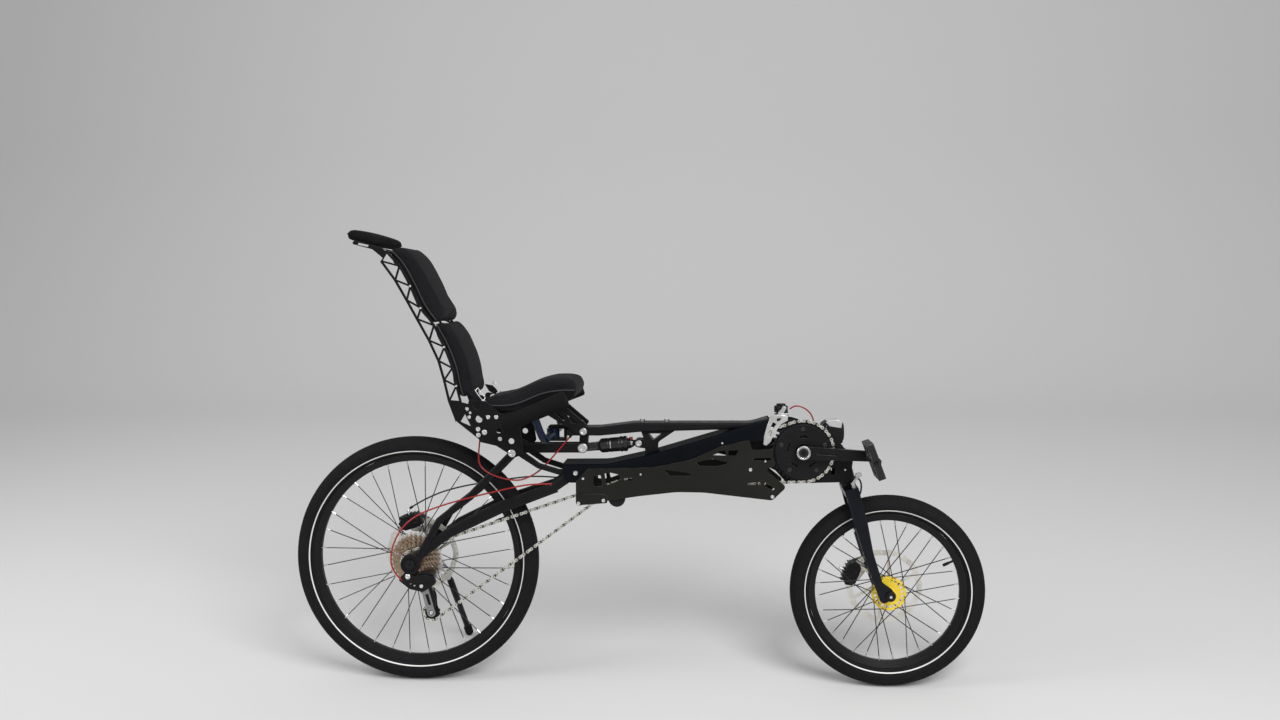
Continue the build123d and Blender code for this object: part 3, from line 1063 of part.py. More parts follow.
def foot_on_ground():
    """The foot's place at which its rim just meets the ground in the leaned pose."""
    z = 40.0
    for _ in range(20):
        d = (Vector(*STAND_FOOT_XY, z) - STAND_PIVOT).normalized()
        down = -d.Y * math.sin(lean) + d.Z * math.cos(lean)
        reach = STAND_FOOT_R * math.sqrt(1 - down * down)
        z = (reach - drop + STAND_FOOT_XY[1] * math.sin(lean)) / math.cos(lean)
    return Vector(*STAND_FOOT_XY, z)


def on_pin(from_mid, to_mid, radius):
    """A round piece on the stand's hinge pin."""
    return rod(tuple(STAND_PIVOT + stand_axis * from_mid), tuple(STAND_PIVOT + stand_axis * to_mid), radius)


STAND_FOOT = foot_on_ground()
leg_way = (STAND_FOOT - STAND_PIVOT).normalized()
stand_axis = leg_way.cross(STAND_FOLDED).normalized()
STAND_PLATE = ((12.0, -8.0, 4.0), (26.0, 2.0, 6.0), (74.0, -62.0, 10.0), (58.0, -82.0, 10.0), (44.0, -74.0, 8.0))
outer = REAR_DROPOUT_Y[1]
nodes["stand_bracket"] = (flat(at(REAR, STAND_PLATE), outer + 3.0, 6.0)
                          + on_pin(-13.0, -KNUCKLE_HALF - SEAT_GAP, KNUCKLE_R)
                          + on_pin(-KNUCKLE_HALF - SEAT_GAP, KNUCKLE_HALF + SEAT_GAP, STAND_PIN_R)
                          + on_pin(KNUCKLE_HALF + SEAT_GAP, KNUCKLE_HALF + 4.0, KNUCKLE_R - 1.0)
                          - on_pin(-KNUCKLE_HALF - SEAT_GAP + 0.01, KNUCKLE_HALF + SEAT_GAP - 0.01, FOLD_CLEAR_R)
                          + on_pin(-KNUCKLE_HALF - SEAT_GAP, KNUCKLE_HALF + SEAT_GAP, STAND_PIN_R))
ankle = STAND_FOOT - leg_way * FOOT_LONG
nodes["stand_leg"] = (on_pin(-KNUCKLE_HALF, KNUCKLE_HALF, KNUCKLE_R) + rod(tuple(STAND_PIVOT), tuple(ankle), STAND_LEG_R)
                      - on_pin(-20.0, 20.0, STAND_PIN_R + RUN_CLEARANCE))
nodes["stand_foot"] = rod(tuple(ankle), tuple(STAND_FOOT), STAND_FOOT_R)

# Cables
CABLE_R = 2.5
BEND_R = 22.0
# Cable rows: x from the swing pivot, y, z from the swing pivot
RED_CABLES = (
    ((-455.0, -66.0, -290.0), (-490.0, -72.0, -262.0), (-486.0, -76.0, -190.0), (-440.0, -78.0, -118.0),
     (-340.0, -74.0, -78.0), (-180.0, -66.0, -40.0), (-110.0, -58.0, -27.0), (-48.0, -45.0, -31.0)),
    ((-235.0, -60.0, 168.0), (-256.0, -60.0, 60.0), (-250.0, -60.0, 6.0), (-160.0, -56.0, -25.0),
     (-112.0, -34.0, -10.0), (-74.0, -25.0, 24.0), (-12.0, -25.0, 97.0)),
)
BLACK_CABLES = (
    ((-472.0, 52.0, -118.0), (-440.0, 60.0, -96.0), (-352.0, 74.0, -62.0), (-180.0, 64.0, -34.0),
     (-110.0, 58.0, -27.0), (-48.0, 45.0, -31.0)),
)


def cable(rows):
    return pipe([(PIVOT[0] + x, y, PIVOT[1] + z) for x, y, z in rows], CABLE_R, BEND_R, 6)


held = nodes["swingarm"] + nodes["rear_derailleur"] + nodes["seat_pan"] + nodes["top_beam"] + nodes["rear_caliper"]
nodes["red_cables"] = Compound(children=[cable(rows) - held for rows in RED_CABLES])
nodes["black_cables"] = Compound(children=[cable(rows) - held for rows in BLACK_CABLES])

# Lean everything onto the stand, centre it and write it
leaned = Pos(0, 0, drop) * Rot(-LEAN_DEG, 0, 0)
placed = {name: leaned * shape for name, shape in nodes.items()}
boxes = [shape.bounding_box() for shape in placed.values()]
low = [min(getattr(b.min, k) for b in boxes) for k in "XYZ"]
high = [max(getattr(b.max, k) for b in boxes) for k in "XYZ"]
centre = Pos(-(low[0] + high[0]) / 2, -(low[1] + high[1]) / 2, 0)
os.makedirs("parts", exist_ok=True)
for name, shape in placed.items():
    export_step(centre * shape, f"parts/{name}.step")
print(low, high)
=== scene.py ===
"""The looks of a fully suspended recumbent bicycle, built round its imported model.

Shapes are drawn upright in millimetres, with X ahead, Y to the left, Z up and the rear tyre's
foot at the origin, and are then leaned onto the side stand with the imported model.
"""
import json
import math

import bmesh
import bpy
from bpy.props import FloatProperty, FloatVectorProperty, IntProperty, PointerProperty
from mathutils import Matrix, Vector
from mathutils.bvhtree import BVHTree
from mathutils.geometry import tessellate_polygon


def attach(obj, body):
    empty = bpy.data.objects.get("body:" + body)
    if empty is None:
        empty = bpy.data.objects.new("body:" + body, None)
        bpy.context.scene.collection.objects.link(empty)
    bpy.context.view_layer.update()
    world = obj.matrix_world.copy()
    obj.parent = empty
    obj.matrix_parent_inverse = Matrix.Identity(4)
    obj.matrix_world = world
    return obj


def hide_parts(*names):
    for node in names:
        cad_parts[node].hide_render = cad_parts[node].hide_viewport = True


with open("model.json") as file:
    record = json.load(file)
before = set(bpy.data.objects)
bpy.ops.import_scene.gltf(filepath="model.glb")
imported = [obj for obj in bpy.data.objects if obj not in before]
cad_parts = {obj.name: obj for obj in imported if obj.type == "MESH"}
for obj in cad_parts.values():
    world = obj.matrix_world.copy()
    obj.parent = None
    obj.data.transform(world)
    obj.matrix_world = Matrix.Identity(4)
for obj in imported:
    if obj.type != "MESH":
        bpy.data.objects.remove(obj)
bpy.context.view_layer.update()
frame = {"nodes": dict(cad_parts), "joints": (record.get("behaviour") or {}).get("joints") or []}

bl_info = {
    "name": "Recumbent bicycle",
    "version": (1, 0, 0),
    "blender": (4, 5, 0),
    "location": "View3D > Sidebar > Bicycle",
    "description": "Dresses a packed recumbent bicycle with its finishes, soft parts and small fittings",
    "category": "Object",
}

# The upright frame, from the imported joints
MM = 0.001
MERGE_APART = 0.001
REAR_BEAD_R = 279.5
FRONT_BEAD_R = 203.0
SECTION_R = 25.0
REAR_R = REAR_BEAD_R + 2 * SECTION_R
PIVOT_AHEAD = 437.0
PIVOT_ABOVE_AXLE = 240.5


def joint_row(name):
    """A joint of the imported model."""
    return next(j for j in frame["joints"] if j["name"] == name)


SIDE = Vector(joint_row("rear_wheel_spin")["axis"]).normalized()
AHEAD = Vector((1.0, 0.0, 0.0))
UP = AHEAD.cross(SIDE)
GROUND = Vector(joint_row("rear_wheel_spin")["pos_m"]) - UP * REAR_R * MM
TURN = Matrix((AHEAD, SIDE, UP)).transposed()
UPRIGHT = Matrix.Translation(GROUND) @ TURN.to_4x4() @ Matrix.Scale(MM, 4)


def upright_place(joint):
    """Where a joint is in the upright frame, as (x, z)."""
    place = UPRIGHT.inverted() @ Vector(joint_row(joint)["pos_m"])
    return (place.x, place.z)


REAR = (0.0, REAR_R)
FRONT = upright_place("front_wheel_spin")
CRANK = upright_place("crank_spin")
PIVOT = (REAR[0] + PIVOT_AHEAD, REAR[1] + PIVOT_ABOVE_AXLE)


# Settings
def colour_setting(name, description, default):
    return FloatVectorProperty(name=name, description=description, subtype="COLOR", size=3, default=default)


def size_setting(name, description, default, low, high):
    return FloatProperty(name=name, description=description, default=default, min=low, max=high)


class BicycleFinish(bpy.types.PropertyGroup):
    """Colours of the finishes"""
    carbon: colour_setting("Carbon", "Clear-coated carbon of the beam", (0.0045, 0.0055, 0.0075))
    plates: colour_setting("Side plates", "Satin finish of the frame's side plates", (0.011, 0.0108, 0.009))
    black_metal: colour_setting("Black metal", "Satin black coat of the metal pieces", (0.007, 0.007, 0.008))
    silver: colour_setting("Silver", "Bright aluminium and steel fittings", (0.72, 0.73, 0.74))
    cassette: colour_setting("Cassette", "Warm plating of the rear sprockets", (0.43, 0.32, 0.23))
    hub: colour_setting("Front hub", "Anodised front hub", (0.80, 0.58, 0.03))
    tyre: colour_setting("Tyre", "Tyre rubber", (0.009, 0.009, 0.010))
    stripe: colour_setting("Stripe", "Reflective stripe on the tyres", (0.80, 0.80, 0.78))
    fabric: colour_setting("Fabric", "Spacer mesh of the seat pads", (0.006, 0.006, 0.007))
    cable: colour_setting("Cable", "Shift cable housing", (0.30, 0.010, 0.010))


class BicycleSizes(bpy.types.PropertyGroup):
    """Sizes of the small forms, in millimetres"""
    stripe_wide: size_setting("Stripe width", "Width of the tyre's reflective stripe", 3.4, 1.0, 8.0)
    tread_deep: size_setting("Tread depth", "Height of the tread blocks", 0.9, 0.2, 2.0)
    spoke_r: size_setting("Spoke radius", "Radius of a spoke", 1.25, 0.5, 2.0)
    puff: size_setting("Cushion puff", "Furthest that a cushion's surface may swell", 5.0, 0.0, 12.0)
    cloth_frames: IntProperty(name="Cloth frames", description="Frames that a cushion settles for",
                              default=16, min=2, max=40)


class BicycleStage(bpy.types.PropertyGroup):
    """Floor, backdrop and light"""
    floor: colour_setting("Floor", "Colour of the floor and backdrop", (0.70, 0.70, 0.70))
    world: FloatProperty(name="World light", description="Strength of the even light", default=0.5, min=0.0)
    key: FloatProperty(name="Key light", description="Power of the large lamp", default=105.0, min=0.0,
                       subtype="POWER")


# Shader node helpers
def wire(tree, target, inputs):
    """Set or link the inputs of a node."""
    for name, value in inputs.items():
        if isinstance(value, bpy.types.NodeSocket):
            tree.links.new(value, target.inputs[name])
        else:
            target.inputs[name].default_value = value


def node(tree, kind, inputs=None, **settings):
    """A node with its settings and the values or links of its inputs."""
    made = tree.nodes.new(kind)
    for name, value in settings.items():
        setattr(made, name, value)
    wire(tree, made, inputs or {})
    return made


def math_node(tree, operation, a, b=0.0):
    return node(tree, "ShaderNodeMath", {0: a, 1: b}, operation=operation).outputs[0]


def map_range(tree, value, low, high, to_low=0.0, to_high=1.0):
    return node(tree, "ShaderNodeMapRange", {"Value": value, "From Min": low, "From Max": high,
                                             "To Min": to_low, "To Max": to_high}).outputs[0]


def noise(tree, place, scale, detail):
    return node(tree, "ShaderNodeTexNoise", {"Vector": place, "Scale": scale, "Detail": detail}).outputs[0]


def object_place(tree):
    return node(tree, "ShaderNodeTexCoord").outputs["Object"]


def round_edge(tree, radius):
    return node(tree, "ShaderNodeBevel", {"Radius": radius}, samples=4).outputs[0]


def scaled(tree, colour, factor):
    return node(tree, "ShaderNodeVectorMath", {0: colour, "Scale": factor}, operation="SCALE").outputs[0]


def blend(tree, factor, first, second):
    """Two colours mixed by a mask."""
    return node(tree, "ShaderNodeMix", {"Factor": factor, 6: first, 7: second}, data_type="RGBA").outputs[2]


def bumped(tree, strength, distance, height, **normal):
    return node(tree, "ShaderNodeBump", {"Strength": strength, "Distance": distance, "Height": height,
                                         **normal}).outputs[0]


FLOAT = "NodeSocketFloat"
COLOUR = "NodeSocketColor"
VECTOR = "NodeSocketVector"
# Share of a noise's range that its patches use
NOISE_RANGE = (0.3, 0.7)


def new_group(name, inputs, outputs):
    tree = bpy.data.node_groups.new(name, "ShaderNodeTree")
    for label, kind, value in inputs:
        tree.interface.new_socket(label, in_out="INPUT", socket_type=kind).default_value = value
    for label, kind in outputs:
        tree.interface.new_socket(label, in_out="OUTPUT", socket_type=kind)
    return tree, tree.nodes.new("NodeGroupInput"), tree.nodes.new("NodeGroupOutput")


def worn_and_highlighted_finish_group():
    """A coat that varies a little all over and is lighter along its edges, partly as wear and partly as a
    painted highlight.
    """
    tree, start, out = new_group("Worn finish with painted edge highlights", [
        ("Coat", COLOUR, (0.02, 0.02, 0.02, 1.0)), ("Edge wear and highlight", COLOUR, (0.2, 0.2, 0.2, 1.0)),
        ("Wear and highlight amount", FLOAT, 0.5), ("Edge", FLOAT, 0.0012), ("Grain", FLOAT, 900.0), ("Depth", FLOAT, 0.05),
        ("Smoothest", FLOAT, 0.25), ("Roughest", FLOAT, 0.5)],
        [("Color", COLOUR), ("Roughness", FLOAT), ("Normal", VECTOR)])
    given = start.outputs
    place = object_place(tree)
    edge = round_edge(tree, given["Edge"])
    flat = node(tree, "ShaderNodeNewGeometry").outputs["Normal"]
    dot = node(tree, "ShaderNodeVectorMath", {0: edge, 1: flat}, operation="DOT_PRODUCT").outputs["Value"]
    patches = noise(tree, place, 45.0, 4.0)
    # The edge mask: edges are painted lighter, partly as wear and partly as a painted highlight of light
    # catching them.
    turned = map_range(tree, dot, 0.985, 0.90)
    mask = math_node(tree, "MULTIPLY", turned, map_range(tree, patches, 0.35, 0.65))
    mask = math_node(tree, "MULTIPLY", mask, given["Wear and highlight amount"])
    shade = map_range(tree, noise(tree, place, 7.0, 3.0), *NOISE_RANGE, 0.85, 1.2)
    wire(tree, out, {
        "Color": blend(tree, mask, scaled(tree, given["Coat"], shade), given["Edge wear and highlight"]),
        "Roughness": map_range(tree, patches, *NOISE_RANGE, given["Smoothest"], given["Roughest"]),
        "Normal": bumped(tree, given["Depth"], 0.0003, noise(tree, place, given["Grain"], 2.0), Normal=edge)})
    return tree


def twill_group():
    """Two-over-two carbon weave: a mask for the crossing tows and a height."""
    tree, start, out = new_group("Twill weave", [("Tows a metre", FLOAT, 500.0)],
                                 [("Mask", FLOAT), ("Height", FLOAT)])
    tows = start.outputs[0]
    place = node(tree, "ShaderNodeSeparateXYZ", {0: object_place(tree)}).outputs
    across = math_node(tree, "ADD", place["Y"], place["Z"])
    u = math_node(tree, "MULTIPLY", math_node(tree, "ADD", place["X"], across), tows)
    v = math_node(tree, "MULTIPLY", math_node(tree, "SUBTRACT", place["X"], across), tows)
    cell = math_node(tree, "ADD", math_node(tree, "FLOOR", u), math_node(tree, "FLOOR", v))
    warp = math_node(tree, "LESS_THAN", math_node(tree, "FLOORED_MODULO", cell, 4.0), 1.5)
    height = node(tree, "ShaderNodeMix", {"Factor": warp, 2: math_node(tree, "PINGPONG", u, 0.5),
                                          3: math_node(tree, "PINGPONG", v, 0.5)}, data_type="FLOAT")
    wire(tree, out, {"Mask": warp, "Height": height.outputs[0]})
    return tree


def spacer_mesh_group():
    """Rows of small holes knitted in a padded fabric."""
    tree, start, out = new_group("Spacer mesh", [("Holes a metre", FLOAT, 260.0)],
                                 [("Hole", FLOAT), ("Height", FLOAT), ("Fuzz", FLOAT)])
    place = object_place(tree)
    cells = node(tree, "ShaderNodeTexVoronoi",
                 {"Vector": place, "Scale": start.outputs[0], "Randomness": 0.18})
    hole = map_range(tree, cells.outputs["Distance"], 0.32, 0.20)
    fuzz = noise(tree, place, 1800.0, 2.0)
    height = math_node(tree, "SUBTRACT", math_node(tree, "MULTIPLY", fuzz, 0.25), hole)
    wire(tree, out, {"Hole": hole, "Height": height, "Fuzz": fuzz})
    return tree


def brushed_group():
    """Fine lines left by turning or brushing, as roughness and height."""
    tree, start, out = new_group("Brushed lines", [("Lines", FLOAT, 900.0), ("Smoothest", FLOAT, 0.15),
                                                   ("Roughest", FLOAT, 0.4)],
                                 [("Roughness", FLOAT), ("Height", FLOAT), ("Shade", FLOAT)])
    given = start.outputs
    place = object_place(tree)
    stretched = node(tree, "ShaderNodeMapping", {"Vector": place, "Scale": (0.06, 1.0, 1.0)}).outputs[0]
    lines = noise(tree, stretched, given["Lines"], 3.0)
    smears = noise(tree, place, 30.0, 3.0)
    wire(tree, out, {
        "Roughness": map_range(tree, smears, *NOISE_RANGE, given["Smoothest"], given["Roughest"]),
        "Height": lines,
        "Shade": map_range(tree, lines, *NOISE_RANGE, 0.86, 1.06)})
    return tree


GROUPS = {}
MATERIALS = {}


def shared(tree, maker, inputs):
    """The outputs of a shader group that is made once."""
    if maker not in GROUPS:
        GROUPS[maker] = maker()
    return node(tree, "ShaderNodeGroup", inputs, node_tree=GROUPS[maker]).outputs


def start_material(name, **sockets):
    """A material with only its Principled shader, whose even values sit on its own sockets."""
    material = bpy.data.materials.new(name)
    material.use_nodes = True
    shader = material.node_tree.nodes["Principled BSDF"]
    for socket, value in sockets.items():
        shader.inputs[socket.replace("_", " ")].default_value = value
    MATERIALS[name] = material
    return material.node_tree, shader


def rgba(colour, factor=1.0):
    return (colour[0] * factor, colour[1] * factor, colour[2] * factor, 1.0)


def grey(value):
    return (value, value, value)


# The second colour is painted on the edges: partly wear, partly a painted highlight.
def worn_and_highlighted(tree, coat, edge_wear_and_highlight, wear_and_highlight_amount, smoothest, roughest, depth, grain, edge):
    return shared(tree, worn_and_highlighted_finish_group, {
        "Coat": coat, "Edge wear and highlight": edge_wear_and_highlight, "Wear and highlight amount": wear_and_highlight_amount, "Edge": edge, "Grain": grain, "Depth": depth,
        "Smoothest": smoothest, "Roughest": roughest})


def coated(name, coat, edge_wear_and_highlight, wear_and_highlight_amount, smoothest, roughest, depth=0.05, grain=900.0, edge=0.0012, **sockets):
    """A painted, anodised or moulded finish whose edges are lighter, partly as wear and partly as a painted
    highlight.
    """
    tree, shader = start_material(name, **sockets)
    finish = worn_and_highlighted(tree, rgba(coat), rgba(edge_wear_and_highlight), wear_and_highlight_amount, smoothest, roughest, depth, grain, edge)
    wire(tree, shader, {"Base Color": finish["Color"], "Roughness": finish["Roughness"],
                        "Normal": finish["Normal"]})


def carbon_material(name, colour, coat, specular):
    """Woven carbon under a clear coat."""
    tree, shader = start_material(name, Coat_Weight=coat, Coat_Roughness=0.15, Specular_IOR_Level=specular)
    # Edges six times lighter than the carbon: partly wear, partly a painted highlight.
    finish = worn_and_highlighted(tree, rgba(colour), rgba(colour, 6.0), 0.5, 0.22, 0.4, 0.02, 500.0, 0.0015)
    weave = shared(tree, twill_group, {"Tows a metre": 380.0})
    tone = map_range(tree, weave["Mask"], 0.0, 1.0, 0.75, 1.5)
    wire(tree, shader, {"Base Color": scaled(tree, finish["Color"], tone), "Roughness": finish["Roughness"],
                        "Normal": bumped(tree, 0.08, 0.0002, weave["Height"], Normal=finish["Normal"])})


def brushed_material(name, colour, smoothest, roughest, lines=900.0, strength=0.05):
    """Bare or plated metal with fine lines."""
    tree, shader = start_material(name, Metallic=1.0)
    brushed = shared(tree, brushed_group, {"Lines": lines, "Smoothest": smoothest, "Roughest": roughest})
    normal = bumped(tree, strength, 0.0002, brushed["Height"], Normal=round_edge(tree, 0.0006))
    wire(tree, shader, {"Base Color": scaled(tree, colour, brushed["Shade"]),
                        "Roughness": brushed["Roughness"], "Normal": normal})


def fabric_material(colour):
    """Black spacer mesh over foam, with painted shade in its holes."""
    tree, shader = start_material("spacer_mesh", Sheen_Weight=0.03, Sheen_Roughness=0.5,
                                  Specular_IOR_Level=0.08)
    knit = shared(tree, spacer_mesh_group, {"Holes a metre": 260.0})
    # The holes are painted darker than the knit: painted shade in them.
    wire(tree, shader, {"Base Color": blend(tree, knit["Hole"], rgba(colour, 1.9), rgba(colour, 0.35)),
                        "Roughness": map_range(tree, knit["Fuzz"], 0.0, 1.0, 0.75, 0.95),
                        "Normal": bumped(tree, 0.5, 0.0008, knit["Height"])})


def glass_material():
    """The lamp's clear window, a little dimmed by handling."""
    tree, shader = start_material("lamp_glass", Transmission_Weight=1.0, IOR=1.49)
    smears = noise(tree, object_place(tree), 60.0, 3.0)
    wire(tree, shader, {"Roughness": map_range(tree, smears, 0.0, 1.0, 0.02, 0.12)})


# Points, as (x, z) seen from the side
def polar(centre, radius, degrees):
    a = math.radians(degrees)
    return (centre[0] + radius * math.cos(a), centre[1] + radius * math.sin(a))


def polars(centre, rows, turn=0):
    """Points from (radius, degrees) rows, all turned alike."""
    return [polar(centre, radius, turn + degrees) for radius, degrees in rows]


def circle(centre, radius, count, start=0):
    return [polar(centre, radius, start + 360 * i / count) for i in range(count)]


def at(anchor, *offsets):
    """Points from their offsets to an anchor."""
    return [(anchor[0] + x, anchor[1] + z) for x, z in offsets]


def raised(place, y=0):
    """A side view's point at a place across the bicycle."""
    return Vector((place[0], y, place[1]))


# Mesh helpers
ACROSS = Vector((0, 1, 0))
BOTH_SIDES = (-1, 1)


def round_row(centre, u, v, radius, count):
    """A circle of points in the plane of two directions."""
    turns = [2 * math.pi * k / count for k in range(count)]
    return [centre + (u * math.cos(a) + v * math.sin(a)) * radius for a in turns]


def rod(radius, low, high):
    """The profile of a plain cylinder between two heights."""
    return [(0, low), (radius, low), (radius, high), (0, high)]


class Form:
    """Vertices and faces of one mesh, gathered from simple forms in the upright frame."""

    def __init__(self):
        self.verts = []
        self.faces = []

    def add(self, verts, faces):
        first = len(self.verts)
        self.verts += [Vector(v) for v in verts]
        self.faces += [[first + i for i in face] for face in faces]

    def rings(self, rows, closed=False):
        """Skin over equal rings of points, with end caps unless it closes on itself."""
        count, sides = len(rows), len(rows[0])
        faces = []
        for i in range(count if closed else count - 1):
            a, b = i * sides, (i + 1) % count * sides
            for k in range(sides):
                n = (k + 1) % sides
                faces.append([a + k, a + n, b + n, b + k])
        if not closed:
            faces.append(list(range(sides))[::-1])
            faces.append([(count - 1) * sides + k for k in range(sides)])
        self.add([v for row in rows for v in row], faces)

    def turned(self, foot, axis, profile, segments):
        """A form turned about an axis, from (radius, height) points; a ring where both ends stand off it."""
        axis = Vector(axis).normalized()
        u = axis.orthogonal().normalized()
        v = axis.cross(u)
        rows = [round_row(Vector(foot) + axis * height, u, v, radius, segments) for radius, height in profile]
        self.rings(rows, closed=profile[0][0] > 0 and profile[-1][0] > 0)

    def tube(self, points, radius, sides):
        """A round tube along points, with one radius or a list with one for each point."""
        points = [Vector(p) for p in points]
        radii = radius if isinstance(radius, list) else [radius] * len(points)
        rows = []
        up = None
        for i, p in enumerate(points):
            before, after = points[max(i - 1, 0)], points[min(i + 1, len(points) - 1)]
            along = (after - before).normalized()
            if up is None:
                up = along.orthogonal().normalized()
            up = (up - along * up.dot(along)).normalized()
            rows.append(round_row(p, up, along.cross(up), radii[i], sides))
        self.rings(rows)

    def plate(self, outline, y_from, y_to, holes=()):
        """A flat plate across the bicycle with holes, from (x, z) corners."""
        loops = [outline, *holes]
        caps = tessellate_polygon([[Vector((x, z, 0)) for x, z in loop] for loop in loops])
        places = [place for loop in loops for place in loop]
        count = len(places)
        faces = [list(t) for t in caps] + [[i + count for i in reversed(t)] for t in caps]
        start = 0
        for loop in loops:
            size = len(loop)
            for i in range(size):
                a, b = start + i, start + (i + 1) % size
                faces.append([a, b, b + count, a + count])
            start += size
        self.add([(x, y, z) for y in sorted((y_from, y_to)) for x, z in places], faces)

    def slab(self, outline, y, half, holes=()):
        """A plate that reaches equally far to either side of a place across the bicycle."""
        self.plate(outline, y - half, y + half, holes)

    def block(self, centre, size, turn=None):
        """A box, turned by a matrix where one is given."""
        x, y, z = (s / 2 for s in size)
        corners = [Vector((i * x, j * y, k * z)) for i in BOTH_SIDES for j in BOTH_SIDES for k in BOTH_SIDES]
        if turn:
            corners = [turn @ c for c in corners]
        faces = [[0, 1, 3, 2], [4, 6, 7, 5], [0, 4, 5, 1], [2, 3, 7, 6], [0, 2, 6, 4], [1, 5, 7, 3]]
        self.add([Vector(centre) + c for c in corners], faces)

    def bolt(self, foot, axis, radius, height):
        """A domed bolt head with a socket."""
        self.turned(foot, axis, [
            (0, -0.3), (radius, -0.3), (radius, height * 0.55), (radius * 0.8, height),
            (radius * 0.48, height), (radius * 0.42, height * 0.35), (0, height * 0.3)], 12)


def forms(count):
    return [Form() for _ in range(count)]


def shade_smooth(mesh, degrees):
    for polygon in mesh.polygons:
        polygon.use_smooth = True
    mesh.set_sharp_from_angle(angle=math.radians(degrees))


def finish_normals(mesh):
    """Merge doubled points and face every polygon outwards."""
    work = bmesh.new()
    work.from_mesh(mesh)
    bmesh.ops.remove_doubles(work, verts=work.verts, dist=MERGE_APART * MM)
    bmesh.ops.recalc_face_normals(work, faces=work.faces)
    work.to_mesh(mesh)
    work.free()


def placed(name, data, material, body, replaced):
    """An object of a mesh or curve, with its finish, on its body."""
    data.materials.append(MATERIALS[material])
    obj = bpy.data.objects.new(name, data)
    bpy.context.scene.collection.objects.link(obj)
    if replaced:
        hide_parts(*replaced)
    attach(obj, body)
    return obj


def piece(name, form, material, body, replaced=(), smooth=35, bevel=0):
    """A finished object from a form, on its body."""
    mesh = bpy.data.meshes.new(name)
    mesh.from_pydata([UPRIGHT @ v for v in form.verts], [], form.faces)
    mesh.validate()
    finish_normals(mesh)
    shade_smooth(mesh, smooth)
    obj = placed(name, mesh, material, body, replaced)
    if bevel:
        modifier = obj.modifiers.new("Rounded edges", "BEVEL")
        modifier.width = bevel * MM
        modifier.segments = 2
        modifier.limit_method = "ANGLE"
    return obj


def smooth_path(points, steps):
    """Points along a smooth line through given ones."""
    points = [Vector(p) for p in points]
    ends = [2 * points[0] - points[1]] + points + [2 * points[-1] - points[-2]]
    line = []
    for i in range(1, len(ends) - 2):
        p0, p1, p2, p3 = ends[i - 1:i + 3]
        for k in range(steps):
            t = k / steps
            line.append(0.5 * (2 * p1 + (p2 - p0) * t + (2 * p0 - 5 * p1 + 4 * p2 - p3) * t * t
                               + (3 * p1 - p0 - 3 * p2 + p3) * t ** 3))
    return line + [points[-1]]


# Wheels: name, bead radius, centre, body
WHEEL_ROWS = (("rear", REAR_BEAD_R, REAR, "rear_wheel"), ("front", FRONT_BEAD_R, FRONT, "front_wheel"))
WHEEL_SEGMENTS = 160
CARCASS_STEPS = 26
CARCASS_REACH_DEG = 140
# Raised ribs on a tyre's walls, between two angles from the crown
RIBS_DEG = ((104, 112), (66, 72))
RIB_LIFT = 0.45
BEAD_HALF = 11.5
BEAD_LIFT = 2
TREAD_ROUND = 150
# Tread block rows: angle from the crown, half width in degrees, shift along the tread
TREAD_ROWS = ((0, 7, 0), (19, 7.5, 0.5), (-19, 7.5, 0.5), (38, 7.5, 0.15), (-38, 7.5, 0.15),
              (56, 6, 0.65), (-56, 6, 0.65))
# Shares of a tread step that a block fills and that its sides lean by
BLOCK_FILL = 0.74
BLOCK_LEAN = 0.16
BLOCK_SUNK = 0.3
BLOCK_TAPER_DEG = 0.6
BLOCK_FACES = ((0, 1, 2, 3), (4, 7, 6, 5), (0, 4, 5, 1), (1, 5, 6, 2), (2, 6, 7, 3), (3, 7, 4, 0))
STRIPE_ABOVE_BEAD = 11.8
STRIPE_SUNK = 0.4
STRIPE_LIFT = 0.35


def section_point(bead_r, centre, radius, tilt_deg, turn_deg):
    """A point on a tyre's section: tilt from the crown, turn round the wheel."""
    tilt = math.radians(tilt_deg)
    r = bead_r + SECTION_R + radius * math.cos(tilt)
    return raised(polar(centre, r, turn_deg), radius * math.sin(tilt))


def wheel_turns():
    return [360 * i / WHEEL_SEGMENTS for i in range(WHEEL_SEGMENTS)]


def carcass(bead_r, centre, radius):
    """A tyre's smooth body, with the ribs on its walls."""
    form = Form()
    rows = []
    for turn in wheel_turns():
        row = []
        for k in range(CARCASS_STEPS + 1):
            tilt = -CARCASS_REACH_DEG + 2 * CARCASS_REACH_DEG * k / CARCASS_STEPS
            swell = RIB_LIFT if any(low < abs(tilt) < high for low, high in RIBS_DEG) else 0
            row.append(section_point(bead_r, centre, radius + swell, tilt, turn))
        row += [raised(polar(centre, bead_r + BEAD_LIFT, turn), y) for y in (BEAD_HALF, -BEAD_HALF)]
        rows.append(row)
    form.rings(rows, closed=True)
    return form


def tread(form, bead_r, centre, inner_r, outer_r):
    """Small blocks in staggered rows."""
    step = 360 / TREAD_ROUND
    for tilt, half, shift in TREAD_ROWS:
        lean = BLOCK_LEAN * step * (1 if tilt >= 0 else -1)
        for i in range(TREAD_ROUND):
            a0 = (i + shift) * step
            a1 = a0 + BLOCK_FILL * step
            corners = []
            for radius, shrink in ((inner_r - BLOCK_SUNK, 0), (outer_r, BLOCK_TAPER_DEG)):
                low, high = tilt - half + shrink, tilt + half - shrink
                for t, a in ((low, a0 + lean), (high, a0 - lean), (high, a1 - lean), (low, a1 + lean)):
                    corners.append(section_point(bead_r, centre, radius, t, a))
            form.add(corners, BLOCK_FACES)


def stripe(bead_r, centre, radius, wide):
    """The two thin reflective bands on a tyre's walls."""
    form = Form()
    middle = math.degrees(math.acos((STRIPE_ABOVE_BEAD - SECTION_R) / radius))
    half = math.degrees(wide / 2 / radius)
    section = ((-STRIPE_SUNK, middle - half), (STRIPE_LIFT, middle - half), (STRIPE_LIFT, middle + half),
               (-STRIPE_SUNK, middle + half))
    for side in BOTH_SIDES:
        rows = [[section_point(bead_r, centre, radius + lift, side * tilt, turn) for lift, tilt in section]
                for turn in wheel_turns()]
        form.rings(rows, closed=True)
    return form


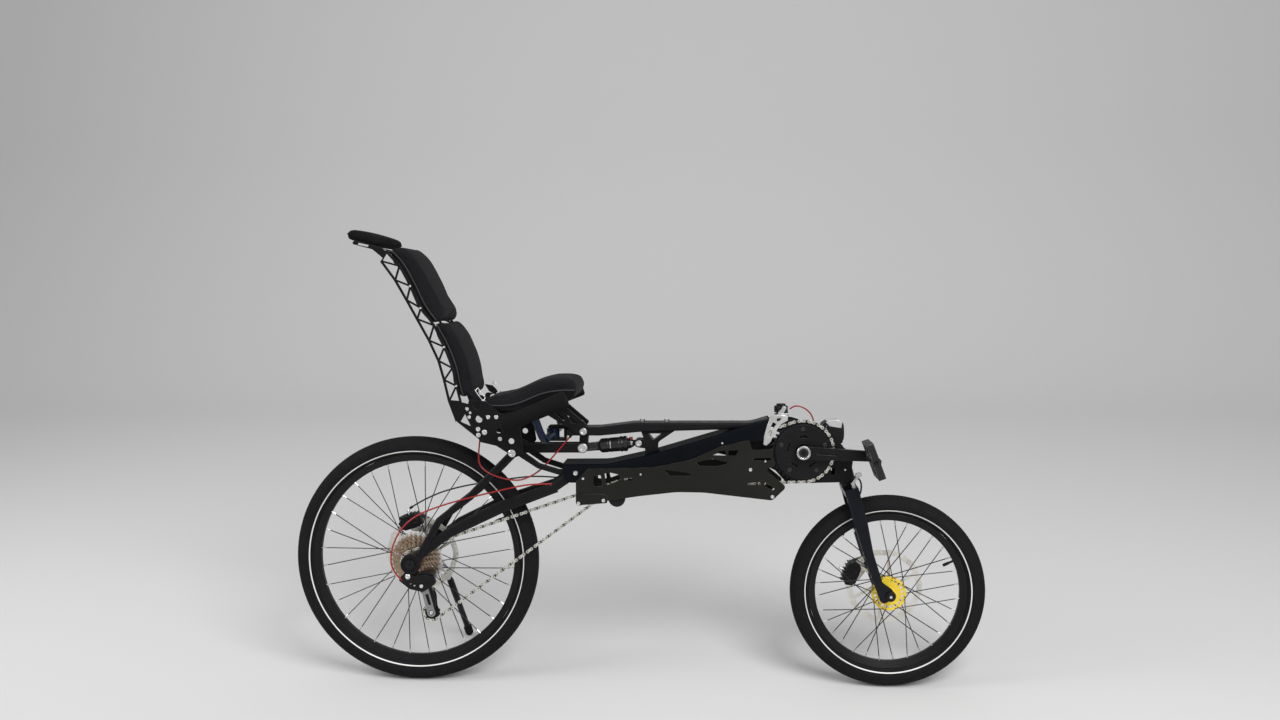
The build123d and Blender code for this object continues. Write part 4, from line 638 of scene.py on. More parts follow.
class BICYCLE_OT_tyres(bpy.types.Operator):
    """Tyres with a carcass, staggered tread blocks and reflective stripes"""
    bl_idname = "bicycle.tyres"
    bl_label = "Tyres"

    def execute(self, context):
        sizes = context.scene.bicycle_sizes
        carcass_r = SECTION_R - sizes.tread_deep
        for name, bead_r, centre, body in WHEEL_ROWS:
            form = carcass(bead_r, centre, carcass_r)
            tread(form, bead_r, centre, carcass_r, SECTION_R - 0.05)
            piece(f"{name}_tyre_rubber", form, "tyre_rubber", body, [f"{name}_tyre"])
            piece(f"{name}_tyre_stripe", stripe(bead_r, centre, carcass_r, sizes.stripe_wide),
                  "reflective_stripe", body)
        return {"FINISHED"}


SPOKES_A_SIDE = 16
SPOKE_LEAD_DEG = 62
RIM_SEAT = 16
VALVE_DEG = 25
FLANGE_STEPS = 120
# Hub rows: axle half length, y and radius of the right and the left flange, holes in a flange, finish
HUBS = ((61.7, ((-9.5, 30), (27.5, 30)), 16, "hub_black"),
        (49.7, ((-30, 45), (28, 30)), 20, "hub_yellow"))
# A spoke's hole from its flange's edge, and how far its head and its bend stand off the flange
SPOKE_HOLE_IN = 3
SPOKE_HEAD_OFF = 2.4
SPOKE_BEND_OFF = 1.8
SPOKE_HEAD = ((0, -0.2), (1.8, 0), (1.6, 0.8), (0, 1.2))
# A spoke's straight start past its bend, and its end inside the nipple
SPOKE_START = 3
SPOKE_END = 10
# Nipples: place beside the wheel's middle, and rows of the distance in from the rim and the radius
NIPPLE_OFF = 3
NIPPLE = ((13, 1.3), (12, 1.9), (1, 1.9), (0, 1.9))
# A flange hole's place and radius, as shares of the flange's radius
FLANGE_HOLE_AT = 0.78
FLANGE_HOLE_R = 0.09
FLANGE_HALF = 1.6
FLANGE_BORE_R = 14
# How far inside the bead the valve starts and ends, and its radii
VALVE_DEEP = (14, 44)
VALVE_RADII = [3, 3, 4, 4, 3]


def hub_profile(half, flanges):
    """A hub shell's half section, from its axle's half length and its two flanges."""
    (y0, _), (y1, r1) = flanges
    return [(7, -half), (11, -half), (12.5, -half + 2), (12.5, y0 - 7), (15.5, y0 - 5),
            (17, y0 - 1.5), (17, y0 + 1.5), (14.5, y0 + 8), (14, (y0 + y1) / 2), (14.5, y1 - 8),
            (19, y1 - 1.5), (r1 - 0.8, y1 - 1.5), (r1, y1 - 0.7), (r1, y1 + 0.7), (r1 - 0.8, y1 + 1.5),
            (15.5, y1 + 1.5), (15.5, y1 + 5), (12.5, half - 14), (12.5, half - 2), (11, half), (7, half)]


def lace(spokes, nipples, centre, rim_r, side, y, flange_r, spoke_r):
    """The spokes of one side with their heads and nipples."""
    for i in range(SPOKES_A_SIDE):
        lead = 1 if i % 2 else -1
        rim_deg = (i + 0.25 * side) * 360 / SPOKES_A_SIDE
        foot = polar(centre, flange_r - SPOKE_HOLE_IN, rim_deg + lead * SPOKE_LEAD_DEG)
        head = raised(foot, y - lead * SPOKE_HEAD_OFF)
        start = raised(foot, y + lead * SPOKE_BEND_OFF)
        end = raised(polar(centre, rim_r, rim_deg), side * NIPPLE_OFF)
        along = (end - start).normalized()
        spokes.tube([head, start, start + along * SPOKE_START, end - along * SPOKE_END], spoke_r, 6)
        spokes.turned(head, (0, -lead, 0), SPOKE_HEAD, 8)
        nipples.tube([end - along * back for back, _ in NIPPLE], [radius for _, radius in NIPPLE], 6)


class BICYCLE_OT_hubs(bpy.types.Operator):
    """Hub shells, laced round spokes, nipples and valves"""
    bl_idname = "bicycle.hubs"
    bl_label = "Hubs and spokes"

    def execute(self, context):
        for (name, bead_r, centre, body), (half, flanges, holes, finish) in zip(WHEEL_ROWS, HUBS):
            shell, spokes, nipples, valve = Form(), Form(), Form(), Form()
            shell.turned(raised(centre), ACROSS, hub_profile(half, flanges), 48)
            for side, (y, flange_r) in zip(BOTH_SIDES, flanges):
                lace(spokes, nipples, centre, bead_r - RIM_SEAT, side, y, flange_r,
                     context.scene.bicycle_sizes.spoke_r)
            y, flange_r = flanges[0]
            holes_at = [circle(polar(centre, FLANGE_HOLE_AT * flange_r, (i + 0.5) * 360 / holes),
                               FLANGE_HOLE_R * flange_r, 10) for i in range(holes)]
            edge = []
            for i in range(FLANGE_STEPS):
                turn = 360 / FLANGE_STEPS * i
                edge.append(polar(centre, flange_r - 0.5 + math.cos(math.radians(2 * holes * turn)), turn))
            shell.slab(edge, y, FLANGE_HALF, [circle(centre, FLANGE_BORE_R, 24)] + holes_at)
            piece(f"{name}_hub_shell", shell, finish, body, [f"{name}_hub"])
            piece(f"{name}_spokes", spokes, "spoke_steel", body, [f"{name}_hub"])
            piece(f"{name}_nipples", nipples, "silver_metal", body)
            foot, top = (raised(polar(centre, bead_r - deep, VALVE_DEG)) for deep in VALVE_DEEP)
            mid = foot.lerp(top, 0.45)
            valve.tube([foot, mid, mid.lerp(top, 0.02), top.lerp(mid, 0.1), top], VALVE_RADII, 12)
            piece(f"{name}_valve", valve, "black_plastic", body)
        return {"FINISHED"}


ROTOR_R = 100
ROTOR_BAND = 15
# Rotor rows: name, centre, place across the bicycle, body
ROTOR_ROWS = (("rear", REAR, 46, "rear_wheel"), ("front", FRONT, 41, "front_wheel"))
ROTOR_WAVES = 10
ROTOR_STEPS = 120
ROTOR_ARMS = 6
ROTOR_HALF = 0.9
# Height of the waves of the band's outside and inside
WAVE_OUT = 1.3
WAVE_IN = 1.2
# Drilled holes: distance in from the outside, step from row to row, radius
DRILL_IN = 4.5
DRILL_STEP = 3.2
DRILL_R = 2
ROTOR_BOLT_AT = 22
ROTOR_HUB_R = 30
ROTOR_BORE_R = 15.8
ROTOR_ARM = ((25, -9), (25, 9), (ROTOR_R - ROTOR_BAND + 1, 24.6), (ROTOR_R - ROTOR_BAND + 1, 19.4))


class BICYCLE_OT_rotors(bpy.types.Operator):
    """Wavy drilled disc brake rotors with their arms and bolts"""
    bl_idname = "bicycle.rotors"
    bl_label = "Rotors"

    def execute(self, context):
        for name, centre, y, body in ROTOR_ROWS:
            band, bolts = Form(), Form()
            outside, inside = [], []
            for i in range(ROTOR_STEPS):
                turn = 360 / ROTOR_STEPS * i
                wave = math.cos(math.radians(turn * ROTOR_WAVES))
                outside.append(polar(centre, ROTOR_R - WAVE_OUT + WAVE_OUT * wave, turn))
                inside.append(polar(centre, ROTOR_R - ROTOR_BAND - 1 + WAVE_IN * wave, turn))
            holes = [circle(polar(centre, ROTOR_R - DRILL_IN - DRILL_STEP * (i % 3), (i + 0.5) * 9),
                            DRILL_R, 8) for i in range(ROTOR_WAVES * 4)]
            band.slab(outside, y, ROTOR_HALF, [inside] + holes)
            for i in range(ROTOR_ARMS):
                turn = 360 / ROTOR_ARMS * i
                band.slab(polars(centre, ROTOR_ARM, turn), y, ROTOR_HALF - 0.1)
                bolts.bolt(raised(polar(centre, ROTOR_BOLT_AT, turn + 30), y + ROTOR_HALF), ACROSS, 4, 2.6)
            band.slab(circle(centre, ROTOR_HUB_R, 36), y, ROTOR_HALF - 0.05,
                      [circle(centre, ROTOR_BORE_R, 24)])
            piece(f"{name}_rotor_disc", band, "rotor_steel", body, [f"{name}_rotor"])
            piece(f"{name}_rotor_bolts", bolts, "black_bolt", body)
        return {"FINISHED"}


# Chain
CHAIN_PITCH = 12.7
CHAIN_Y = -48
GUIDE_PULLEY, TENSION_PULLEY = at(REAR, (30, -61.5), (49, -133.5))
RETURN_IDLER = (PIVOT[0] + 107, PIVOT[1] - 67)
CHAINRING_TEETH = 39
# Chain route rows: centre, teeth, sense
CHAIN_ROUTE = ((CRANK, CHAINRING_TEETH, 1), (REAR, 15, 1), (GUIDE_PULLEY, 11, -1), (TENSION_PULLEY, 11, 1),
               (RETURN_IDLER, 13, -1))
# Inner and outer link plates: distance from the chain's middle, thickness
LINK_PLATES = ((1.55, 1), (2.65, 0.9))
ROLLER = ((3, 0), (3.4, 0), (3.4, 3), (3, 3))
ROLLER_HALF = 1.5
CHAIN_PIN_R = 1.7
CHAIN_PIN_HALF = 3.7
LINK_END_R = 4.3
LINK_WAIST = 3


def tooth_radius(teeth):
    """The radius at which the chain lies on a wheel."""
    return teeth * CHAIN_PITCH / (2 * math.pi)


def tangent(a, b):
    """The straight run of the chain between two wheels."""
    (c1, t1, s1), (c2, t2, s2) = a, b
    r1, r2 = tooth_radius(t1), tooth_radius(t2)
    dx, dz = c2[0] - c1[0], c2[1] - c1[1]
    heading = math.atan2(dz, dx) + math.asin((s1 * r1 - s2 * r2) / math.hypot(dx, dz))
    normal = (math.sin(heading), -math.cos(heading))
    return ((c1[0] + s1 * r1 * normal[0], c1[1] + s1 * r1 * normal[1]),
            (c2[0] + s2 * r2 * normal[0], c2[1] + s2 * r2 * normal[1]))


def chain_pins():
    """Every pin of the closed chain, evenly spaced along its route."""
    count = len(CHAIN_ROUTE)
    runs = [tangent(CHAIN_ROUTE[i], CHAIN_ROUTE[(i + 1) % count]) for i in range(count)]
    stretches = []
    for i, (centre, teeth, sense) in enumerate(CHAIN_ROUTE):
        met, left = runs[i - 1][1], runs[i][0]
        a0 = math.atan2(met[1] - centre[1], met[0] - centre[0])
        a1 = math.atan2(left[1] - centre[1], left[0] - centre[0])
        swept = (sense * (a1 - a0)) % (2 * math.pi)
        radius = tooth_radius(teeth)
        stretches.append((radius * swept, centre, radius, a0, sense))
        stretches.append((math.dist(*runs[i]), None, runs[i], 0, 0))
    total = sum(s[0] for s in stretches)
    links = 2 * round(total / CHAIN_PITCH / 2)
    pins = []
    for k in range(links):
        s = total * k / links
        for length, centre, data, a0, sense in stretches:
            if s <= length:
                break
            s -= length
        if centre:
            pins.append(polar(centre, data, math.degrees(a0 + sense * s / data)))
        else:
            (x0, z0), (x1, z1) = data
            pins.append((x0 + (x1 - x0) * s / length, z0 + (z1 - z0) * s / length))
    return pins


def link_outline(a, b):
    """A figure-of-eight link plate."""
    heading = math.degrees(math.atan2(b[1] - a[1], b[0] - a[0]))
    normal = math.radians(heading + 90)
    mid = ((a[0] + b[0]) / 2, (a[1] + b[1]) / 2)
    waist = [(mid[0] + s * LINK_WAIST * math.cos(normal), mid[1] + s * LINK_WAIST * math.sin(normal))
             for s in BOTH_SIDES]
    points = [polar(a, LINK_END_R, heading + d) for d in (55, 90, 125, 180, 235, 270, 305)] + [waist[0]]
    return points + [polar(b, LINK_END_R, heading + d) for d in (-125, -90, -55, 0, 55, 90, 125)] + [waist[1]]


class BICYCLE_OT_chain(bpy.types.Operator):
    """Every link plate, roller and pin of the chain"""
    bl_idname = "bicycle.chain"
    bl_label = "Chain"

    def execute(self, context):
        pins = chain_pins()
        inner_links, outer_links = Form(), Form()
        for i, a in enumerate(pins):
            outline = link_outline(a, pins[(i + 1) % len(pins)])
            links = outer_links if i % 2 else inner_links
            near, thick = LINK_PLATES[i % 2]
            for side in BOTH_SIDES:
                y = CHAIN_Y + side * near
                links.plate(outline, y, y + side * thick)
            inner_links.turned(raised(a, CHAIN_Y - CHAIN_PIN_HALF), ACROSS,
                               rod(CHAIN_PIN_R, 0, 2 * CHAIN_PIN_HALF), 8)
            inner_links.turned(raised(a, CHAIN_Y - ROLLER_HALF), ACROSS, ROLLER, 8)
        piece("chain_inner_links", inner_links, "chain_dark", "frame", ["chain"])
        piece("chain_outer_links", outer_links, "chain_steel", "frame")
        return {"FINISHED"}


# Cassette and chainring
SPROCKETS = (36, 32, 28, 24, 21, 18, 15, 12)
SPROCKET_STEP = 5
RUNNING_SPROCKET = 6
SPROCKET_HALF = 0.9
PIERCED_ABOVE_TEETH = 20
SPROCKET_BORE_R = 17.5
# A large sprocket's slots: inner radius, distance in from the chain's circle, share that they fill
SLOT_R = 26
SLOT_IN = 12
SLOT_FILL = 0.62
# Its small holes: distance in from the chain's circle, radius
PIERCE_IN = 7.5
PIERCE_R = 2.2
# Tooth tips above the chain's circle on the sprockets and on the chainring
SPROCKET_TIP = 1.6
CHAINRING_TIP = 2.6
CHAINRING_BORE_R = 54
CHAINRING_BOLTS = 5
CHAINRING_BOLT_AT = 58
# Tooth corners: share of the tooth's step, whether at the tip
TOOTH = ((-0.36, False), (-0.11, True), (0.11, True), (0.36, False))
TOOTH_ROOT = 3.6
SLOT_STEPS = 3
# How near to a wheel's pitch circle a pin on it lies
PIN_NEAR = 0.1
CARRIER = ((16.8, 0), (21, 0), (21.5, 1.6), (19, 2.2), (19, 38), (16.8, 38))
CHAINRING_ARM = ((14, -40), (14, 40), (56, 9), (56, -9))
GUARD_CAP = ((0, 0), (12.6, 0), (12.6, 1.5), (9, 1.2), (7, 0.5), (0, 0.5))
CRANK_RING = ((12, 0), (17.6, 0), (17.6, 1.4), (16.6, 2.2), (14.4, 2.2), (13.6, 1.2), (12, 1.2))
CRANK_CAP = ((0, 0), (12, 0), (12, 1), (9, 1.8), (8, 0.6), (0, 0.6))


def toothed(centre, teeth, tip, start):
    """Corners of a toothed wheel with flat-topped teeth."""
    pitch_r = tooth_radius(teeth)
    step = 360 / teeth
    return [polar(centre, pitch_r + (tip if high else -TOOTH_ROOT), start + (i + share) * step)
            for i in range(teeth) for share, high in TOOTH]


def meshing_start(centre, teeth):
    """The turn that sets a wheel's teeth halfway between the chain's pins on it."""
    radius = tooth_radius(teeth)
    on_wheel = [p for p in chain_pins() if abs(math.dist(p, centre) - radius) < PIN_NEAR]
    x, z = on_wheel[len(on_wheel) // 2]
    return math.degrees(math.atan2(z - centre[1], x - centre[0])) + 360 / teeth / 2


def slot_ring(centre, r_in, r_out, count, fill):
    """Curved slots spaced round a centre."""
    slots = []
    for i in range(count):
        a0 = 360 * i / count
        a1 = a0 + fill * 360 / count
        arc = [a0 + (a1 - a0) * k / SLOT_STEPS for k in range(SLOT_STEPS + 1)]
        slots.append([polar(centre, r_out, a) for a in arc] + [polar(centre, r_in, a) for a in reversed(arc)])
    return slots


class BICYCLE_OT_sprockets(bpy.types.Operator):
    """Eight pierced sprockets with their lock ring, and the toothed chainring"""
    bl_idname = "bicycle.sprockets"
    bl_label = "Sprockets"

    def execute(self, context):
        rings, large, carrier, chainring, fittings, guard_bolts = forms(6)
        for i, teeth in enumerate(SPROCKETS):
            y = CHAIN_Y + (RUNNING_SPROCKET - i) * SPROCKET_STEP
            holes = [circle(REAR, SPROCKET_BORE_R, 24)]
            reach = tooth_radius(teeth)
            if teeth > PIERCED_ABOVE_TEETH:
                holes += slot_ring(REAR, SLOT_R, reach - SLOT_IN, 9 if teeth > 26 else 7, SLOT_FILL)
                holes += [circle(polar(REAR, reach - PIERCE_IN, (k + 0.25) * 720 / teeth), PIERCE_R, 8)
                          for k in range(teeth // 2)]
            start = meshing_start(REAR, teeth) if i == RUNNING_SPROCKET else 0
            form = rings if i else large
            form.slab(toothed(REAR, teeth, SPROCKET_TIP, start), y, SPROCKET_HALF, holes)
        y_low = CHAIN_Y + (RUNNING_SPROCKET - len(SPROCKETS) + 1) * SPROCKET_STEP
        carrier.turned(raised(REAR, y_low - 3), ACROSS, CARRIER, 36)
        piece("sprocket_rings", rings, "cassette_steel", "rear_wheel", ["cassette"])
        piece("large_sprockets", large, "chain_steel", "rear_wheel")
        piece("sprocket_carrier", carrier, "black_anodised", "rear_wheel")
        start = meshing_start(CRANK, CHAINRING_TEETH)
        chainring.slab(toothed(CRANK, CHAINRING_TEETH, CHAINRING_TIP, start), CHAIN_Y, SPROCKET_HALF,
                       [circle(CRANK, CHAINRING_BORE_R, 48)])
        for i in range(CHAINRING_BOLTS):
            turn = 18 + 72 * i
            chainring.slab(polars(CRANK, CHAINRING_ARM, turn), CHAIN_Y, 2.6)
            guard_bolts.bolt(raised(polar(CRANK, CHAINRING_BOLT_AT, turn), -58), -ACROSS, 5.4, 1.8)
        piece("chainring_toothed", chainring, "black_anodised", "crank", ["chainring"],
              bevel=0.3)
        guard_bolts.turned(raised(CRANK, -76.4), -ACROSS, GUARD_CAP, 32)
        fittings.turned(raised(CRANK, -76.6), -ACROSS, CRANK_RING, 40)
        fittings.turned(raised(CRANK, 76.6), ACROSS, CRANK_CAP, 32)
        piece("crank_fittings", fittings, "silver_metal", "crank")
        piece("guard_bolts", guard_bolts, "black_bolt", "crank")
        return {"FINISHED"}


# Bolt rows on both sides of the bicycle: anchor, ahead, up, radius, height
SIDE_BOLTS = (
    (PIVOT, 8, -78, 5, 3), (PIVOT, 73, -70, 5, 3),
    (CRANK, -134, -46, 5, 3), (CRANK, -78, -116, 5, 3),
    (PIVOT, 20, -14, 3.5, 2), (PIVOT, 170, -2, 3, 2), (CRANK, -206, 22, 3, 2),
    (PIVOT, 19, 106, 10, 4), (PIVOT, -157, 59, 10, 4),
    (PIVOT, -412.6, 488.3, 3.2, 2), (PIVOT, -386.6, 432.1, 3.2, 2),
    (PIVOT, -327.7, 332.2, 3.2, 2), (PIVOT, -298.5, 232.2, 3.2, 2),
    (PIVOT, -271, 173, 4.6, 2), (PIVOT, -266, 152, 4.6, 2),
    (PIVOT, -243.5, 121, 6, 2.6), (PIVOT, -243, 106, 6, 2.6),
    (PIVOT, -227, 113, 6.8, 2.6), (PIVOT, -217, 152, 5.4, 2.2),
    (PIVOT, -196, 152, 5.4, 2.2), (PIVOT, -187, 96, 5.4, 2.2),
    (CRANK, 20, -50, 3, 2), (CRANK, 110, -50, 3, 2),
    (CRANK, -96, -24, 3, 2), (CRANK, 52, 40, 3, 2),
)
BOLTED = ("shell_right", "shell_left", "seat_side_right", "seat_side_left", "seat_pan", "front_frame",
          "main_beam", "swingarm", "rocker", "suspension_link", "top_beam", "seat_struts", "shock_post",
          "bar_pivot")
OUTSIDE = 400
RIM_SHARE = 0.95
BOTTLE_BOLTS = (609, 673)
BOTTLE_BOLT_Z = 704.4
# Large caps on the suspension's bolts: offset from the swing pivot, distance from the middle, radius
CAPS = ((0, 0, 56, 6.5), (15, 60, 19, 13), (163, 73, 20, 9))
# A cap's profile: share of its radius, height
CAP = ((0, -0.4), (1, -0.4), (1, 2), (0.86, 3.6), (0.45, 4), (0.38, 2.4), (0, 2.2))
PIN_R = 4.8


def packed_surface(names):
    """The faces of the named pieces, upright and in millimetres, to seat small parts on."""
    to_upright = UPRIGHT.inverted()
    verts, faces = [], []
    for name in names:
        obj = frame["nodes"][name]
        first = len(verts)
        verts += [to_upright @ (obj.matrix_world @ v.co) for v in obj.data.vertices]
        faces += [[first + i for i in polygon.vertices] for polygon in obj.data.polygons]
    return BVHTree.FromPolygons(verts, faces)


def outermost(surface, x, z, side, radius):
    """How far out the surface reaches under a bolt head's rim on one side."""
    reach = []
    for place in circle((x, z), RIM_SHARE * radius, 8):
        hit, _, _, _ = surface.ray_cast(raised(place, side * OUTSIDE), Vector((0, -side, 0)))
        if hit is not None and side * hit.y > 0:
            reach.append(side * hit.y)
    if not reach:
        raise RuntimeError(f"no packed surface under the bolt at {x:.1f}, {z:.1f}")
    return max(reach)


class BICYCLE_OT_bolts(bpy.types.Operator):
    """Silver bolts and pivot caps of the frame"""
    bl_idname = "bicycle.bolts"
    bl_label = "Bolts"

    def execute(self, context):
        heads, caps = Form(), Form()
        for x in BOTTLE_BOLTS:
            heads.bolt((x, 0, BOTTLE_BOLT_Z), (0, 0, 1), 4.4, 2.6)
        surface = packed_surface(BOLTED)
        for anchor, dx, dz, radius, height in SIDE_BOLTS:
            x, z = anchor[0] + dx, anchor[1] + dz
            for side in BOTH_SIDES:
                y = side * outermost(surface, x, z, side, radius)
                heads.bolt((x, y, z), ACROSS * side, radius, height)
        piece("frame_bolts", heads, "polished_silver", "frame")
        for dx, dz, half, radius in CAPS:
            x, z = PIVOT[0] + dx, PIVOT[1] + dz
            for side in BOTH_SIDES:
                profile = [(share * radius, up) for share, up in CAP]
                caps.turned((x, side * half, z), ACROSS * side, profile, 28)
            caps.turned((x, -half, z), ACROSS, rod(PIN_R, 0, 2 * half), 16)
        piece("pivot_caps", caps, "polished_silver", "frame", ["pivot_bolts"])
        return {"FINISHED"}


# Front derailleur, from the foot of the rear tyre
POST = (CRANK[0] - 52, CRANK[1] + 68)
BLADE = ((923.7, 644.9), (925, 668), (933, 696), (941, 716), (962, 721), (982, 719.8),
         (985.8, 708), (967, 697), (951, 673), (941, 652), (931.1, 643.1))
BLADE_SLOTS = (((958, 714), (970, 715), (966, 706), (957, 704)),
               ((947, 703), (957, 699), (950, 688), (942, 690)),
               ((939, 683), (946, 680), (940, 666), (934, 668)))
BLADE_APART = 8
CAGE_BRIDGE = ((945, 716), (980, 719), (980, 722), (945, 719))
MECH_ARM = ((955, 712), (966, 711), (984, 738), (976, 743))
MECH_FOOT = ((952, 712), (988, 716), (990, 726), (952, 722))
CLAMP = ((12.2, 0), (17, 0), (18, 1.5), (18, 15.5), (17, 17), (12.2, 17))
# Rear derailleur, from the rear axle; bolt rows: ahead, up, y, radius
MECH_BOLTS = ((-8, -33, -71, 7), (-20, -46, -65, 4.5), (44, -38, -65, 4.5),
              (26, -60, -65, 5), (30, -61.5, -56.5, 5), (49, -133.5, -56.5, 5),
              (-2, -52, -65, 3.2), (8, -58, -65, 2.4))
MECH_FACE = ((-26, -40), (-18, -34), (40, -28), (58, -34), (50, -44), (-14, -54))
MECH_SLOT = ((34, -84), (42, -82), (50, -112), (42, -112))


class BICYCLE_OT_derailleurs(bpy.types.Operator):
    """Pierced silver front cage with its clamp, and the rear mechanism's links, pulleys and bolts"""
    bl_idname = "bicycle.derailleurs"
    bl_label = "Derailleurs"

    def execute(self, context):
        cage, links, clamp, rear, plate, face = forms(6)
        for y in (CHAIN_Y - BLADE_APART, CHAIN_Y + BLADE_APART):
            cage.slab(BLADE, y, 0.9, BLADE_SLOTS)
        cage.tube([(983, CHAIN_Y - BLADE_APART, 714), (983, CHAIN_Y + BLADE_APART, 714)], 2.6, 10)
        cage.slab(CAGE_BRIDGE, CHAIN_Y, BLADE_APART)
        piece("front_cage", cage, "polished_silver", "frame", ["front_derailleur"], bevel=0.4)
        for y in (-38, -24):
            links.slab(MECH_ARM, y, 2.5)
        links.plate(MECH_FOOT, -50, -18)
        for x, z in ((961, 714), (979, 738)):
            links.turned((x, -42, z), ACROSS, rod(3.6, 0, 22), 12)
        piece("front_mech_links", links, "silver_metal", "frame", bevel=0.6)
        clamp.turned((POST[0], 0, POST[1] + 28), (0, 0, 1), CLAMP, 32)
        clamp.block((POST[0] + 2, -21, POST[1] + 36.5), (20, 10, 14))
        clamp.block((POST[0], 20, POST[1] + 36.5), (9, 10, 13))
        piece("front_mech_clamp", clamp, "black_anodised", "frame", bevel=1)
        for dx, dz, y, radius in MECH_BOLTS:
            rear.bolt((REAR[0] + dx, y, REAR[1] + dz), -ACROSS, radius, 2.4)
        rear.slab(circle(TENSION_PULLEY, 11, 30), -56.5, 0.5, [circle(TENSION_PULLEY, 7.5, 20)])
        rear.tube([(REAR[0] - 24, -62, REAR[1] - 44), (REAR[0] - 36, -63, REAR[1] - 38)], 3, 10)
        piece("rear_mech_bolts", rear, "polished_silver", "frame")
        face.plate(at(REAR, *MECH_FACE), -70, -64.9)
        cage_line = [polar(GUIDE_PULLEY, 12, a) for a in (-10, 30, 70, 110, 150)]
        cage_line += [polar(TENSION_PULLEY, 11, a) for a in (175, 215, 255, 295, 335, 15)]
        plate.plate(cage_line, -58.6, -56.9, [circle(TENSION_PULLEY, 6.5, 16), circle(GUIDE_PULLEY, 5.6, 16),
                                              at(REAR, *MECH_SLOT)])
        piece("rear_mech_cage", plate, "grey_steel", "frame", bevel=0.5)
        piece("rear_mech_face", face, "black_anodised", "frame", bevel=1.2)
        return {"FINISHED"}


# Headlight, from the crank
LAMP_CASE = ((46, 30), (46, 52), (54, 67), (64, 74), (94, 76), (102, 70), (107, 44),
             (105, 20), (98, 14), (66, 11), (58, 20))
LAMP_TOP = ((70, 62), (101, 57), (103.6, 70), (95, 78), (67, 76.5), (62, 71))
LAMP_RING = ((19, -2), (22.6, -2), (23.4, 5), (23.4, 8.5), (21, 9), (20.4, 5), (19, 3))
LAMP_FIN = ((62, 60), (64, 60), (64, 62.5), (62, 62.5))
REFLECTOR = ((0, -1.6), (9, -0.6), (15, 1.4), (19.6, 4.6), (19.6, 4), (14, 0.4), (0, -2.2))
WINDOW = ((0, 8.2), (12, 7.6), (20.2, 5.8), (20.2, 5), (12, 6.6), (0, 7.2))


class BICYCLE_OT_headlight(bpy.types.Operator):
    """Headlight with a silver top, a reflector and a clear window"""
    bl_idname = "bicycle.headlight"
    bl_label = "Headlight"

    def execute(self, context):
        body, top, mirror, window = forms(4)
        body.slab(at(CRANK, *LAMP_CASE), 0, 24.6)
        centre = (CRANK[0] + 100, 0, CRANK[1] + 45)
        body.turned(centre, AHEAD, LAMP_RING, 40)
        piece("lamp_case", body, "black_plastic", "frame", ["headlight"], bevel=2.2)
        top.slab(at(CRANK, *LAMP_TOP), 0, 25.4)
        for k in range(5):
            top.slab([(x - 2 * k, z - 5 * k) for x, z in at(CRANK, *LAMP_FIN)], 0, 25.2)
        piece("lamp_top", top, "polished_silver", "frame", bevel=0.8)
        mirror.turned(centre, AHEAD, REFLECTOR, 36)
        piece("lamp_reflector", mirror, "polished_silver", "frame")
        window.turned(centre, AHEAD, WINDOW, 40)
        piece("lamp_window", window, "lamp_glass", "frame")
        return {"FINISHED"}


# Shock, along its axis from the rear eye
SHOCK_REAR, SHOCK_FRONT = at(PIVOT, (15, 60), (163, 73))
SHOCK_CAN = ((0, 40), (9, 40), (14, 43), (18.4, 48), (19, 52), (19, 66), (18.2, 67),
             (18.2, 69), (19, 70), (19, 96), (18.2, 97), (20.6, 99), (20.6, 104), (19.4, 105.5),
             (19.4, 108), (20.6, 109.5), (20.6, 116), (17, 118), (14, 120), (14, 127), (0, 127))
SHOCK_COLLAR = ((0, 126), (10, 126), (11.5, 127), (11.5, 131), (9, 134), (0, 134))
SHOCK_RING = ((19.05, 72), (19.5, 72.3), (19.5, 74.2), (19.05, 74.5))
SHOCK_KNOB = ((0, 0), (4.6, 0), (5, 1), (5, 8), (4.2, 9.2), (0, 9.2))


class BICYCLE_OT_shock(bpy.types.Operator):
    """Air shock: can with its rings, shaft, yoke, eyes and red adjuster"""
    bl_idname = "bicycle.shock"
    bl_label = "Shock"

    def execute(self, context):
        foot = raised(SHOCK_REAR)
        along = raised(SHOCK_FRONT) - foot
        length = along.length
        along.normalize()
        rise = along.cross(ACROSS)
        turn = Matrix((along, ACROSS, rise)).transposed()
        can, shaft, eyes, knob = forms(4)
        can.turned(foot, along, SHOCK_CAN, 40)
        for side in BOTH_SIDES:
            can.block(foot + along * 17 + rise * (8.5 * side), (50, 14, 5), turn)
        can.block(foot + along * 38, (8, 14, 22), turn)
        can.block(foot + along * 22, (32, 11, 12.5), turn)
        piece("shock_can", can, "shock_body", "frame", ["shock"], bevel=0.4)
        shaft.turned(foot, along, SHOCK_COLLAR, 28)
        shaft.turned(foot, along, SHOCK_RING, 40)
        piece("shock_shaft", shaft, "silver_metal", "frame")
        for place, half in ((foot, 7), (foot + along * length, 9)):
            eyes.turned(place - ACROSS * half, ACROSS,
                        [(5.2, 0), (9.5, 0), (10, 1), (10, 2 * half - 1), (9.5, 2 * half),
                         (5.2, 2 * half)], 28)
        eyes.tube([foot + along * 132, foot + along * (length - 6)], 8, 16)
        piece("shock_eyes", eyes, "black_anodised", "frame")
        knob.turned(foot + along * 128 + rise * 7, rise, SHOCK_KNOB, 20)
        piece("shock_knob", knob, "red_anodised", "frame")
        return {"FINISHED"}


